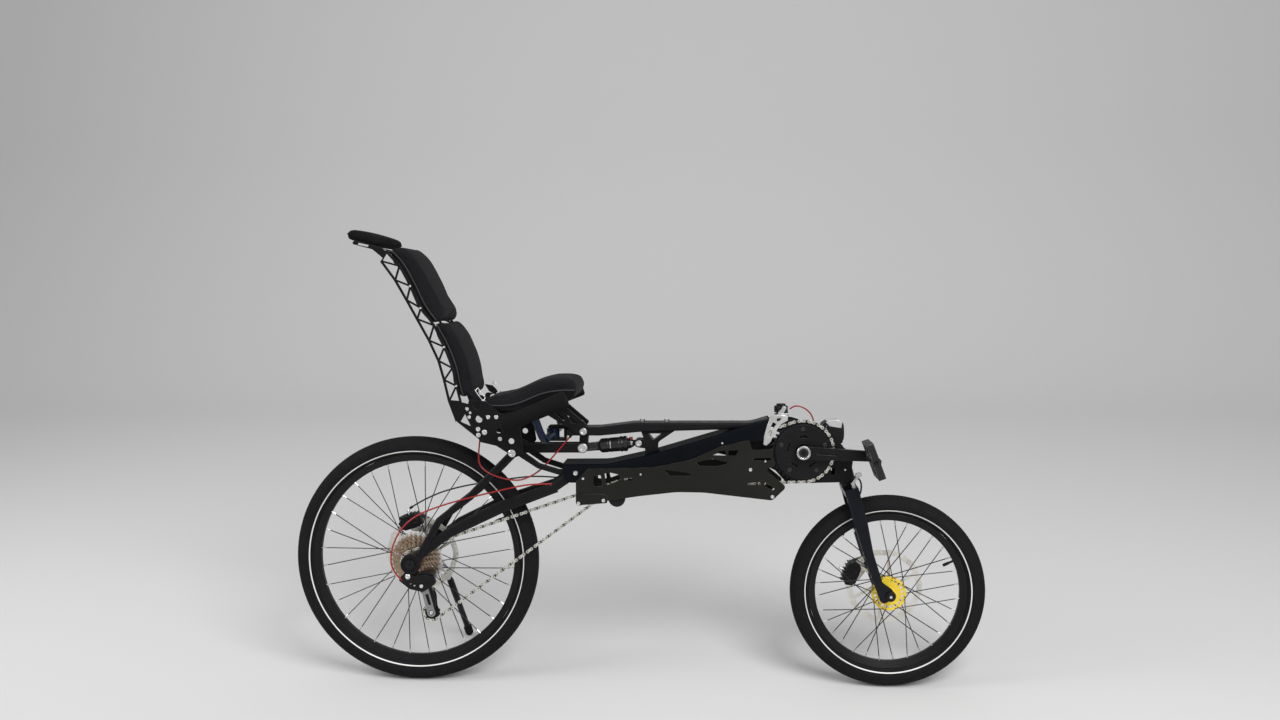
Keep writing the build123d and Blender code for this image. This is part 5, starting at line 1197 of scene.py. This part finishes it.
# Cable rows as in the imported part: x from the swing pivot, y, z from the swing pivot
RED_CABLES = (
    ((-455, -66, -290), (-490, -72, -262), (-486, -76, -190), (-440, -78, -118),
     (-340, -74, -78), (-180, -66, -40), (-110, -58, -27), (-48, -45, -31)),
    ((-235, -60, 168), (-256, -60, 60), (-250, -60, 6), (-160, -56, -25),
     (-112, -34, -10), (-74, -25, 24), (-12, -25, 97)),
)
BLACK_CABLES = (
    ((-472, 52, -118), (-440, 60, -96), (-352, 74, -62), (-180, 64, -34),
     (-110, 58, -27), (-48, 45, -31)),
)
CABLE_R = 2.1
# Short runs: name, body, material, radius, points from the foot of the rear tyre
SHORT_RUNS = (
    ("front_mech_cable", "frame", "red_housing", 1.9,
     ((993, -22, 733), (1001, -22, 741), (1018, -22, 741.5), (1036, -20, 733),
      (1049, -18, 719), (1056, -16, 700), (1056, -14, 684))),
    ("front_brake_hose", "fork", "black_housing", 2.4,
     ((1142, 58, 384), (1150, 62, 420), (1168, 62, 455), (1184, 60, 488),
      (1190, 54, 514), (1184, 40, 540), (1168, 26, 550))),
    ("lamp_lead", "frame", "black_housing", 1.6,
     ((1076, 10, 650), (1068, 12, 636), (1072, 14, 618), (1084, 14, 606),
      (1096, 16, 603))),
)
CABLE_CAP = ((1.6, 0), (3.1, 0), (3.4, 1), (3.4, 9), (3, 10), (2.4, 10))


def from_pivot(rows):
    """Routes moved from the swing pivot to the foot of the rear tyre."""
    return [[(PIVOT[0] + x, y, PIVOT[1] + z) for x, y, z in row] for row in rows]


def cable_curve(name, rows, radius, material, body, replaced=()):
    """Smooth cables along the points of their routes."""
    data = bpy.data.curves.new(name, "CURVE")
    data.dimensions = "3D"
    data.bevel_depth = radius * MM
    data.bevel_resolution = 3
    data.resolution_u = 8
    data.use_fill_caps = True
    for points in rows:
        spline = data.splines.new("NURBS")
        spline.points.add(len(points) - 1)
        for target, point in zip(spline.points, points):
            target.co = (*(UPRIGHT @ Vector(point)), 1)
        spline.order_u = 3
        spline.use_endpoint_u = True
    placed(name, data, material, body, replaced)


class BICYCLE_OT_cables(bpy.types.Operator):
    """Shift cables, brake hoses and the lamp's lead, with their end caps"""
    bl_idname = "bicycle.cables"
    bl_label = "Cables"

    def execute(self, context):
        cable_curve("red_cable_pair", from_pivot(RED_CABLES), CABLE_R, "red_housing", "frame",
                    ["red_cables"])
        cable_curve("rear_brake_hose", from_pivot(BLACK_CABLES), CABLE_R, "black_housing",
                    "frame", ["black_cables"])
        for name, body, material, radius, points in SHORT_RUNS:
            cable_curve(name, [points], radius, material, body)
        ends = Form()
        for row in from_pivot(RED_CABLES + BLACK_CABLES):
            for a, b in ((row[0], row[1]), (row[-1], row[-2])):
                ends.turned(a, (Vector(b) - Vector(a)).normalized(), CABLE_CAP, 12)
        piece("cable_caps", ends, "black_plastic", "frame")
        return {"FINISHED"}


# Calipers: wheel, axle, rotor's y, middle angle, body, y of the lug, corners of the lug as (radius, angle)
CALIPERS = (
    ("rear", REAR, 46, 108, "frame", 60,
     ((112, 124), (112, 92), (92, 62), (62, 62), (66, 118))),
    ("front", FRONT, 41, 158, "fork", 56,
     ((112, 172), (112, 144), (92, 118), (64, 122), (66, 172))),
)
# Outlines as (radius, angle from the middle one), and profiles
CALIPER_OUTLINE = ((77, -15), (77, 15), (86, 20), (104, 19), (113, 9), (113, -9),
                   (104, -19), (86, -20))
CALIPER_BRIDGE = ((105, -16), (105, 16), (112, 10), (112, -10))
CALIPER_FIN = ((108, -0.9), (117.5, -0.8), (117.5, 0.8), (108, 0.9))
PISTON_CAP = ((0, 0), (9, 0), (9, 1.8), (7.6, 3), (4, 3), (3.4, 1.8), (0, 1.6))
HOSE_FITTING = ((0, -3), (5, -3), (5, 3), (3.8, 5), (3.8, 14), (3, 16), (0, 16))


class BICYCLE_OT_calipers(bpy.types.Operator):
    """Finned two-part brake calipers with their lugs, bolts and hose fittings"""
    bl_idname = "bicycle.calipers"
    bl_label = "Calipers"

    def execute(self, context):
        for name, axle, y, middle, body, lug_y, lug in CALIPERS:
            shell, bright = Form(), Form()
            for side in BOTH_SIDES:
                outer = y + side * 12
                shell.plate(polars(axle, CALIPER_OUTLINE, middle), y + side * 2.4, outer)
                for place in polars(axle, ((92, -9), (92, 9)), middle):
                    shell.turned(raised(place, outer - side * 0.4), ACROSS * side, PISTON_CAP, 20)
            shell.slab(polars(axle, CALIPER_BRIDGE, middle), y, 11.5)
            for k in range(6):
                shell.slab(polars(axle, CALIPER_FIN, middle - 12.5 + 5 * k), y, 10.5)
            piece(f"{name}_caliper_body", shell, "black_anodised", body, [f"{name}_caliper"],
                  bevel=0.8)
            corners = polars(axle, lug)
            centre = [sum(values) / len(corners) for values in zip(*corners)]
            bright.slab(corners, lug_y, 2, [circle(centre, 7, 16)])
            for place in polars(axle, ((106, -14), (106, 14)), middle):
                bright.turned(raised(place, y + 11), ACROSS, rod(4.4, 0, lug_y - y - 9), 16)
                bright.bolt(raised(place, lug_y + 2), ACROSS, 4.6, 3.4)
            bright.turned(raised(polar(axle, 112, middle), y + 2), raised(polar((0, 0), 1, middle)),
                          HOSE_FITTING, 16)
            piece(f"{name}_caliper_lug", bright, "silver_metal", body, bevel=0.5)
        return {"FINISHED"}


# Side stand
STAND_PIN = Vector((REAR[0] + 60, 84, REAR[1] - 67.5))
STAND_FOOT = Vector((REAR[0] + 80, 245, 43.19))
STAND_FOLDED = Vector((-0.99, 0.1, -0.05))
STAND_EYE = ((4.2, 0), (9.4, 0), (10, 0.8), (10, 13), (9.4, 13.8), (4.2, 13.8))


class BICYCLE_OT_stand(bpy.types.Operator):
    """Side stand's leg, ribbed rubber foot and bolts"""
    bl_idname = "bicycle.stand"
    bl_label = "Side stand"

    def execute(self, context):
        along = (STAND_FOOT - STAND_PIN).normalized()
        length = (STAND_FOOT - STAND_PIN).length
        leg, foot, pin = Form(), Form(), Form()
        leg.turned(STAND_PIN, along, [(0, 9), (6.4, 9), (6.5, 16), (9.2, 26), (9.2, 130), (8.2, 133),
                                      (8.2, length - 26), (0, length - 26)], 24)
        axis = along.cross(STAND_FOLDED).normalized()
        leg.turned(STAND_PIN - axis * 6.9, axis, STAND_EYE, 28)
        piece("stand_leg_tube", leg, "satin_black", "side_stand", ["stand_leg"])
        ribs = [(0, length - 30), (8.2, length - 30)]
        for k in range(5):
            start = length - 28 + 5 * k
            ribs += [(11.6, start), (11.6, start + 3.2), (10.4, start + 3.6), (10.4, start + 4.6)]
        ribs += [(11, length - 2.6), (9.9, length - 0.4), (0, length - 0.2)]
        foot.turned(STAND_PIN, along, ribs, 24)
        piece("stand_foot_rubber", foot, "black_rubber", "side_stand", ["stand_foot"])
        pin.bolt(STAND_PIN - axis * 13, -axis, 6.5, 3)
        for place in at(REAR, (24, -10), (34, -36)):
            pin.bolt(raised(place, 80), ACROSS, 4, 2.6)
        piece("stand_bolts", pin, "polished_silver", "frame")
        return {"FINISHED"}


# Seat buckles in (x, z), and the strap that each closes
BUCKLE = ((188, 790), (196, 778), (207, 764))
BUCKLE_ENDS = (((188, 790), (195, 797)), ((207, 764), (214, 771)))
BUCKLE_WIDE = 7
BUCKLE_Y = 103.6
STRAP = ((168, 790), (190, 786), (200, 776), (204, 768), (196, 762), (180, 770))
LEVER_BOLT = (1163.6, 566.8)
AXLE_HEAD = ((0, 0), (12, 0), (12.6, 0.8), (12.6, 4.6), (11.6, 6.4), (7, 8.2), (5.6, 8.2), (5, 5),
             (0, 5))


class BICYCLE_OT_fittings(bpy.types.Operator):
    """Seat buckles and straps, the steering lever's bolt and the axle heads"""
    bl_idname = "bicycle.fittings"
    bl_label = "Fittings"

    def execute(self, context):
        buckle, straps, lever, centre_bolt = forms(4)
        for side in BOTH_SIDES:
            for shift in (0, BUCKLE_WIDE):
                buckle.tube([(x + shift, side * BUCKLE_Y, z + shift) for x, z in BUCKLE], 1, 8)
            for ends in BUCKLE_ENDS:
                buckle.tube([raised(place, side * BUCKLE_Y) for place in ends], 1, 8)
            straps.plate(STRAP, side * 100.2, side * 102.6)
        piece("seat_buckles", buckle, "polished_silver", "frame")
        piece("seat_straps", straps, "spacer_mesh", "frame")
        lever.bolt(raised(LEVER_BOLT, -51), -ACROSS, 6.6, 4)
        lever.bolt(raised(LEVER_BOLT, -41), ACROSS, 4.6, 3)
        piece("steering_lever_bolt", lever, "polished_silver", "fork")
        for name, centre, y, body in (("rear", REAR, 81, "frame"), ("front", FRONT, 65, "fork")):
            nuts = Form()
            for side in BOTH_SIDES:
                nuts.turned(raised(centre, side * (y - 7.2)), ACROSS * side, AXLE_HEAD, 32)
            piece(f"{name}_axle_heads", nuts, "black_anodised", body, [f"{name}_axle"])
        for side in BOTH_SIDES:
            centre_bolt.bolt(raised(FRONT, side * 62.6), ACROSS * side, 4.4, 2.6)
        piece("front_axle_bolts", centre_bolt, "polished_silver", "fork")
        return {"FINISHED"}


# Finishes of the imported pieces
NODE_FINISH = {
    "carbon_weave": ("main_beam",),
    "fork_carbon": ("fork",),
    "satin_black": ("top_beam", "shock_post", "front_frame", "swingarm", "suspension_link", "rocker",
                    "seat_side_right", "seat_side_left", "seat_crossbars", "seat_pan", "seat_struts",
                    "bar_pivot", "stand_leg"),
    "blue_anodised": ("handlebar",),
    "plate_satin": ("shell_right", "shell_left"),
    "black_anodised": ("chain_guard", "chainring", "cranks", "front_caliper", "rear_caliper",
                       "rear_derailleur"),
    "black_plastic": ("return_idler", "headlight"),
    "pedal_black": ("pedal_right", "pedal_left"),
    "silver_metal": ("front_derailleur", "rear_axle", "front_axle", "pivot_bolts", "bottle_bosses",
                     "steering_arm", "stand_bracket"),
    "black_rubber": ("stand_foot",),
    "shock_body": ("shock",),
    "cassette_steel": ("cassette",),
    "rim_black": ("rear_rim", "front_rim"),
    "red_housing": ("red_cables",),
    "black_housing": ("black_cables",),
}


class BICYCLE_OT_finishes(bpy.types.Operator):
    """Materials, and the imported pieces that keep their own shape"""
    bl_idname = "bicycle.finishes"
    bl_label = "Finishes"

    def execute(self, context):
        look = context.scene.bicycle_finish
        # The second colour of each coated finish is painted on its edges: partly wear down to metal, partly a
        # painted highlight.
        bare_metal_and_highlight = (0.16, 0.16, 0.165)
        carbon_material("carbon_weave", look.carbon, 0.08, 0.0)
        carbon_material("fork_carbon", (0.0045, 0.0055, 0.0085), 0.14, 0.12)
        coated("satin_black", look.black_metal, bare_metal_and_highlight, 0.5, 0.36, 0.52, depth=0.08, Specular_IOR_Level=0.14)
        coated("plate_satin", look.plates, (0.15, 0.15, 0.14), 0.7, 0.34, 0.5, grain=1400.0,
               Specular_IOR_Level=0.18)
        coated("black_anodised", look.black_metal, bare_metal_and_highlight, 0.7, 0.26, 0.42, Specular_IOR_Level=0.2)
        coated("black_plastic", (0.010, 0.010, 0.011), grey(0.04), 0.3, 0.4, 0.6, depth=0.2,
               Specular_IOR_Level=0.18)
        coated("pedal_black", (0.014, 0.014, 0.015), grey(0.4), 1.0, 0.35, 0.6, edge=0.002,
               Specular_IOR_Level=0.3)
        coated("black_bolt", (0.012, 0.012, 0.013), grey(0.25), 0.9, 0.25, 0.4, edge=0.0004)
        coated("rim_black", (0.008, 0.008, 0.009), bare_metal_and_highlight, 0.4, 0.3, 0.45, Specular_IOR_Level=0.18)
        coated("black_rubber", grey(0.012), grey(0.05), 0.4, 0.65, 0.85, depth=0.35, grain=700.0,
               Specular_IOR_Level=0.12)
        coated("tyre_rubber", look.tyre, (0.04, 0.04, 0.038), 0.5, 0.6, 0.82, depth=0.3, grain=1200.0,
               edge=0.0006, Specular_IOR_Level=0.12)
        coated("grip_foam", grey(0.008), grey(0.02), 0.3, 0.8, 0.95, depth=0.6, grain=500.0,
               Specular_IOR_Level=0.08)
        coated("red_housing", look.cable, (0.5, 0.1, 0.1), 0.1, 0.22, 0.35, depth=0.02)
        coated("black_housing", grey(0.012), grey(0.05), 0.1, 0.25, 0.4, depth=0.02)
        coated("hub_black", (0.014, 0.014, 0.016), bare_metal_and_highlight, 0.6, 0.2, 0.35, Metallic=0.3)
        coated("hub_yellow", look.hub, (0.8, 0.75, 0.5), 0.3, 0.22, 0.36, depth=0.02)
        coated("blue_anodised", (0.004, 0.009, 0.026), (0.08, 0.10, 0.16), 0.5, 0.25, 0.4, depth=0.03,
               Specular_IOR_Level=0.25)
        coated("red_anodised", (0.5, 0.015, 0.01), (0.7, 0.3, 0.3), 0.3, 0.2, 0.32, depth=0.02)
        coated("piping_grey", grey(0.035), grey(0.06), 0.2, 0.7, 0.85, depth=0.3, grain=2500.0)
        coated("reflective_stripe", look.stripe, grey(0.7), 0.0, 0.3, 0.45, depth=0.15, grain=2500.0)
        coated("shock_body", (0.014, 0.014, 0.015), (0.35, 0.35, 0.36), 0.9, 0.16, 0.3, Coat_Weight=0.3,
               Specular_IOR_Level=0.3)
        brushed_material("silver_metal", look.silver, 0.2, 0.36, strength=0.12)
        brushed_material("polished_silver", (0.82, 0.82, 0.81), 0.28, 0.42, strength=0.03)
        glass_material()
        brushed_material("rotor_steel", (0.93, 0.91, 0.84), 0.34, 0.5, lines=1400.0)
        brushed_material("chain_steel", (0.78, 0.76, 0.70), 0.28, 0.44)
        brushed_material("grey_steel", grey(0.34), 0.3, 0.45)
        brushed_material("chain_dark", (0.10, 0.095, 0.085), 0.3, 0.5)
        brushed_material("spoke_steel", (0.055, 0.055, 0.06), 0.3, 0.45, strength=0.02)
        brushed_material("cassette_steel", look.cassette, 0.26, 0.42, strength=0.12)
        fabric_material(look.fabric)
        for finish, names in NODE_FINISH.items():
            for name in names:
                mesh = frame["nodes"][name].data
                mesh.materials.clear()
                mesh.materials.append(MATERIALS[finish])
                shade_smooth(mesh, 32.0)
        return {"FINISHED"}


# Seat lines, from the swing pivot
SEAT_CHORD = ((-472.9, 575.2), (-440, 539.4), (-412.6, 488.3), (-386.6, 432.1), (-353.8, 387.3),
              (-327.7, 332.2), (-308, 278.4), (-298.5, 232.2), (-288.9, 191.1))
SEAT_LINE = ((-241, 172), (-187, 161), (-135, 164), (-71, 187), (-27, 193), (11, 192))
HEAD_LINE = ((-578, 617), (-540, 608), (-492, 593))
PAD_HALF = 99.7
# Depths evenly spaced along each pad
UPPER_DEEP = (45, 45, 46, 47.5, 46)
LOWER_DEEP = (32, 40, 41, 40, 40)
SEAT_DEEP = (26, 42, 51, 54, 57, 60)
HEAD_DEEP = (30, 30)
PAD_ROWS = 40
PAD_COLUMNS = 28
PATH_STEPS = 10
# Share of a pad's depth between its back and the middle of its border
BACK_SHARE = 0.45
# Share between that border and the face, the part of it that the crown adds, and the pull inwards
FACE_SHARE = 0.55
CROWN_SHARE = 0.14
BORDER_PULL = 2
# How squarely a pad's ends and sides turn: a higher power is squarer
END_POWER = 14
SIDE_POWER = 10
PIPING_R = 1.5


def spread(line, steps):
    """Points evenly spaced on a smooth line through the given ones, as (x, z)."""
    path = smooth_path([raised(place) for place in line], PATH_STEPS)
    lengths = [0]
    for a, b in zip(path, path[1:]):
        lengths.append(lengths[-1] + (b - a).length)
    points = []
    k = 0
    for i in range(steps + 1):
        s = lengths[-1] * i / steps
        while k < len(path) - 2 and lengths[k + 1] < s:
            k += 1
        t = (s - lengths[k]) / (lengths[k + 1] - lengths[k])
        p = path[k].lerp(path[k + 1], t)
        points.append((p.x, p.z))
    return points


def depth_at(depths, share):
    """Depth at a share of the way along, between evenly spaced ones."""
    place = share * (len(depths) - 1)
    k = min(int(place), len(depths) - 2)
    return depths[k] + (depths[k + 1] - depths[k]) * (place - k)


def pad_form(line, half, depths, trim, rows=PAD_ROWS):
    """A closed pad on a line: flat at its back, crowned at its face, with full round borders."""
    points = spread(line, rows)
    form = Form()
    grid = {}
    for layer in (0, 1):
        for i, (x, z) in enumerate(points):
            x0, z0 = points[max(i - 1, 0)]
            x1, z1 = points[min(i + 1, rows)]
            length = math.hypot(x1 - x0, z1 - z0)
            nx, nz = -(z1 - z0) / length, (x1 - x0) / length
            u = 2 * i / rows - 1
            deep = depth_at(depths, i / rows)
            back = BACK_SHARE * deep
            for k in range(PAD_COLUMNS + 1):
                v = 2 * k / PAD_COLUMNS - 1
                edge = (1 - abs(u) ** END_POWER) ** 0.5 * (1 - abs(v) ** SIDE_POWER) ** 0.5
                crown = 1 - CROWN_SHARE + CROWN_SHARE * (1 - v * v) * (1 - u ** 4)
                rise = back + FACE_SHARE * deep * edge * crown if layer else back - back * edge
                pull = half - BORDER_PULL * (1 - edge)
                grid[layer, i, k] = len(form.verts)
                form.verts.append(Vector((x + nx * (rise + trim), v * pull, z + nz * (rise + trim))))
    for layer in (0, 1):
        for i in range(rows):
            for k in range(PAD_COLUMNS):
                face = [grid[layer, a, b] for a, b in ((i, k), (i + 1, k), (i + 1, k + 1), (i, k + 1))]
                form.faces.append(face if layer else face[::-1])
    edges = [(0, k) for k in range(PAD_COLUMNS)] + [(i, PAD_COLUMNS) for i in range(rows)]
    edges += [(rows, k) for k in range(PAD_COLUMNS, 0, -1)] + [(i, 0) for i in range(rows, 0, -1)]
    for (i0, k0), (i1, k1) in zip(edges, edges[1:] + edges[:1]):
        form.faces.append([grid[0, i0, k0], grid[1, i0, k0], grid[1, i1, k1], grid[0, i1, k1]])
    return form


def border(form, line, depths, trim):
    """Piping along both sides of a pad."""
    points = spread(line, PAD_ROWS)
    for side in BOTH_SIDES:
        path = []
        for i in range(1, PAD_ROWS):
            (x0, z0), (x1, z1) = points[i - 1], points[i + 1]
            length = math.hypot(x1 - x0, z1 - z0)
            rise = BACK_SHARE * depth_at(depths, i / PAD_ROWS) + trim
            path.append((points[i][0] - rise * (z1 - z0) / length, side * (PAD_HALF - 1.2),
                         points[i][1] + rise * (x1 - x0) / length))
        form.tube(path, PIPING_R, 8)


# Cloth that swells a pad
CLOTH_GRID = 5
CLOTH_PRESSURE = 4
CLOTH_QUALITY = 4


def apply_modifier(obj, modifier):
    with bpy.context.temp_override(object=obj, active_object=obj, selected_objects=[obj]):
        bpy.ops.object.modifier_apply(modifier=modifier.name)


def settle(obj, sizes):
    """Swell a pad a little with cloth pressure, and keep its surface near where it was."""
    scene = bpy.context.scene
    bpy.context.view_layer.objects.active = obj
    remesh = obj.modifiers.new("Even mesh", "REMESH")
    remesh.mode = "VOXEL"
    remesh.voxel_size = CLOTH_GRID * MM
    apply_modifier(obj, remesh)
    start = [v.co.copy() for v in obj.data.vertices]
    cloth = obj.modifiers.new("Settle", "CLOTH")
    cloth.settings.use_pressure = True
    cloth.settings.uniform_pressure_force = CLOTH_PRESSURE
    cloth.settings.effector_weights.gravity = 0.0
    cloth.settings.quality = CLOTH_QUALITY
    for number in range(1, sizes.cloth_frames + 1):
        scene.frame_set(number)
    apply_modifier(obj, cloth)
    limit = sizes.puff * MM
    for vertex, rest in zip(obj.data.vertices, start):
        moved = vertex.co - rest
        if moved.length > limit:
            vertex.co = rest + moved.normalized() * limit
    scene.frame_set(1)
    smooth = obj.modifiers.new("Finer", "SUBSURF")
    smooth.levels = 1
    smooth.render_levels = 1
    shade_smooth(obj.data, 60.0)


class BICYCLE_OT_seat_pads(bpy.types.Operator):
    """Two back pads and the seat pad in spacer mesh, and the head pad in foam"""
    bl_idname = "bicycle.seat_pads"
    bl_label = "Seat pads"

    def execute(self, context):
        chord = at(PIVOT, *SEAT_CHORD)
        upper = chord[:4] + at(chord[4], (-0.8, 1.2))
        lower = at(chord[4], (-2.4, 5.4)) + chord[5:8] + at(chord[8], (0, 6))
        pads = (("back_pad_upper", upper, UPPER_DEEP, -8.5, "back_cushion_upper"),
                ("back_pad_lower", lower, LOWER_DEEP, -8.5, "back_cushion_lower"),
                ("seat_pad", at(PIVOT, *SEAT_LINE), SEAT_DEEP, 1, "seat_cushion"))
        piping = Form()
        for name, line, depths, trim, replaced in pads:
            form = pad_form(line, PAD_HALF - 2, depths, trim)
            obj = piece(name, form, "spacer_mesh", "frame", [replaced], smooth=60)
            settle(obj, context.scene.bicycle_sizes)
            border(piping, line, depths, trim)
        piece("pad_piping", piping, "piping_grey", "frame", smooth=60)
        form = pad_form(at(PIVOT, *HEAD_LINE), PAD_HALF - 1, HEAD_DEEP, -8, rows=20)
        obj = piece("head_pad", form, "grip_foam", "frame", ["head_roll"], smooth=60)
        return {"FINISHED"}


# Grips, from the handlebar's pin
BAR_PIN = (PIVOT[0] - 65, PIVOT[1] + 98)
GRIP_ENDS = ((-104, 40), (58, 106))
GRIP_Y = 165
GRIP_R = 22
GRIP_RING = ((10, 1), (14, 1), (14.5, -0.8), (13, -2.4), (10, -2.4))


class BICYCLE_OT_grips(bpy.types.Operator):
    """Long foam grips with their end rings"""
    bl_idname = "bicycle.grips"
    bl_label = "Grips"

    def execute(self, context):
        foam, rings = Form(), Form()
        for side in BOTH_SIDES:
            start, end = (raised(place, side * GRIP_Y) for place in at(BAR_PIN, *GRIP_ENDS))
            along = (end - start).normalized()
            length = (end - start).length
            profile = [(10, 0), (GRIP_R - 3, 0), (GRIP_R - 0.6, 2.4), (GRIP_R, 8), (GRIP_R - 1.2, 60),
                       (GRIP_R - 1.6, 90), (GRIP_R - 0.6, length - 30), (GRIP_R, length - 8),
                       (GRIP_R - 0.6, length - 2.4), (GRIP_R - 3, length), (0, length + 0.4)]
            foam.turned(start, along, profile, 32)
            rings.turned(start, along, GRIP_RING, 24)
        piece("grip_foam_pair", foam, "grip_foam", "handlebar", ["grips"], smooth=50)
        piece("grip_rings", rings, "black_anodised", "handlebar")
        return {"FINISHED"}


# Stage
CAMERA_PLACE = (774.1, -2690.5, 1027)
CAMERA_YAW_DEG = 3.62
CAMERA_PITCH_DEG = 3.53
CAMERA_ROLL_DEG = 0.43
FOCAL_PX = 1027.9
PHOTO_WIDE_PX = 1280
SENSOR_MM = 36
# Floor and backdrop, in metres
FLOOR_NEAR = -40
FLOOR_FAR = 2.6
SWEEP_R = 1.4
BACKDROP_TOP = 7
LIT_PLACE = (0, 0, 0.5)
WHITE = (1, 1, 1, 1)


def camera_turn():
    """Columns are the camera's right, up and back in the upright frame."""
    yaw, pitch, roll = (math.radians(a) for a in (CAMERA_YAW_DEG, CAMERA_PITCH_DEG, CAMERA_ROLL_DEG))
    rz = Matrix(((math.cos(yaw), math.sin(yaw), 0), (-math.sin(yaw), math.cos(yaw), 0), (0, 0, 1)))
    base = Matrix(((1, 0, 0), (0, 0, -1), (0, 1, 0)))
    rp = Matrix(((1, 0, 0), (0, math.cos(pitch), -math.sin(pitch)), (0, math.sin(pitch), math.cos(pitch))))
    rr = Matrix(((math.cos(roll), math.sin(roll), 0), (-math.sin(roll), math.cos(roll), 0), (0, 0, 1)))
    right, down, forward = rr @ rp @ base @ rz
    return Matrix((right, -down, -forward)).transposed()


def linked(name, data):
    obj = bpy.data.objects.new(name, data)
    bpy.context.scene.collection.objects.link(obj)
    return obj


def area_lamp(name, place, size, power):
    """A round lamp that faces the bicycle."""
    data = bpy.data.lights.new(name, "AREA")
    data.shape = "DISK"
    data.size = size
    data.energy = power
    lamp = linked(name, data)
    lamp.location = place
    lamp.rotation_euler = (Vector(place) - Vector(LIT_PLACE)).to_track_quat("Z", "Y").to_euler()


class BICYCLE_OT_stage(bpy.types.Operator):
    """Floor, backdrop, light and the camera"""
    bl_idname = "bicycle.stage"
    bl_label = "Stage"

    def execute(self, context):
        stage = context.scene.bicycle_stage
        start_material("stage_floor", Base_Color=rgba(stage.floor), Roughness=0.9, Specular_IOR_Level=0.1)
        profile = [(FLOOR_NEAR, 0.0), (FLOOR_FAR, 0.0)]
        for degrees in range(6, 91, 6):
            a = math.radians(degrees)
            profile.append((FLOOR_FAR + SWEEP_R * math.sin(a), SWEEP_R - SWEEP_R * math.cos(a)))
        profile.append((FLOOR_FAR + SWEEP_R, BACKDROP_TOP))
        verts = [(x, y, z) for x in (FLOOR_NEAR, -FLOOR_NEAR) for y, z in profile]
        count = len(profile)
        faces = [[i, i + 1, count + i + 1, count + i] for i in range(count - 1)]
        mesh = bpy.data.meshes.new("studio_sweep")
        mesh.from_pydata(verts, [], faces)
        mesh.materials.append(MATERIALS["stage_floor"])
        shade_smooth(mesh, 40.0)
        sweep = linked("studio_sweep", mesh)
        world = bpy.data.worlds.new("even_light")
        context.scene.world = world
        world.use_nodes = True
        background = world.node_tree.nodes["Background"]
        background.inputs["Color"].default_value = WHITE
        background.inputs["Strength"].default_value = stage.world
        area_lamp("key_lamp", (1.6, -2.2, 3.4), 2.2, stage.key)
        area_lamp("side_lamp", (-3.0, -0.6, 2.4), 1.6, 0.35 * stage.key)
        data = bpy.data.cameras.new("photo_camera")
        data.sensor_width = SENSOR_MM
        data.lens = FOCAL_PX / PHOTO_WIDE_PX * SENSOR_MM
        camera = linked("photo_camera", data)
        turn = (TURN @ camera_turn()).to_4x4()
        camera.matrix_world = Matrix.Translation(UPRIGHT @ Vector(CAMERA_PLACE)) @ turn
        context.scene.camera = camera
        context.scene.view_settings.view_transform = "Standard"
        return {"FINISHED"}


class BICYCLE_PT_panel(bpy.types.Panel):
    """Lists every step of the bicycle"""
    bl_idname = "BICYCLE_PT_panel"
    bl_label = "Recumbent bicycle"
    bl_space_type = "VIEW_3D"
    bl_region_type = "UI"
    bl_category = "Bicycle"

    def draw(self, context):
        for step in STEPS:
            self.layout.operator(step.bl_idname)
        scene = context.scene
        for settings in (scene.bicycle_finish, scene.bicycle_sizes, scene.bicycle_stage):
            for name in settings.__annotations__:
                self.layout.prop(settings, name)


STEPS = (BICYCLE_OT_stage, BICYCLE_OT_finishes, BICYCLE_OT_tyres, BICYCLE_OT_hubs, BICYCLE_OT_rotors,
         BICYCLE_OT_chain, BICYCLE_OT_sprockets, BICYCLE_OT_bolts, BICYCLE_OT_derailleurs,
         BICYCLE_OT_headlight, BICYCLE_OT_shock, BICYCLE_OT_cables, BICYCLE_OT_calipers, BICYCLE_OT_stand,
         BICYCLE_OT_seat_pads, BICYCLE_OT_grips, BICYCLE_OT_fittings)
SETTINGS = (BicycleFinish, BicycleSizes, BicycleStage)


def register():
    for kind in SETTINGS + STEPS + (BICYCLE_PT_panel,):
        bpy.utils.register_class(kind)
    bpy.types.Scene.bicycle_finish = PointerProperty(type=BicycleFinish)
    bpy.types.Scene.bicycle_sizes = PointerProperty(type=BicycleSizes)
    bpy.types.Scene.bicycle_stage = PointerProperty(type=BicycleStage)


def unregister():
    del bpy.types.Scene.bicycle_stage
    del bpy.types.Scene.bicycle_sizes
    del bpy.types.Scene.bicycle_finish
    for kind in reversed(SETTINGS + STEPS + (BICYCLE_PT_panel,)):
        bpy.utils.unregister_class(kind)


def main():
    register()
    for step in STEPS:
        group, name = step.bl_idname.split(".")
        getattr(getattr(bpy.ops, group), name)()


if __name__ == "__main__":
    main()
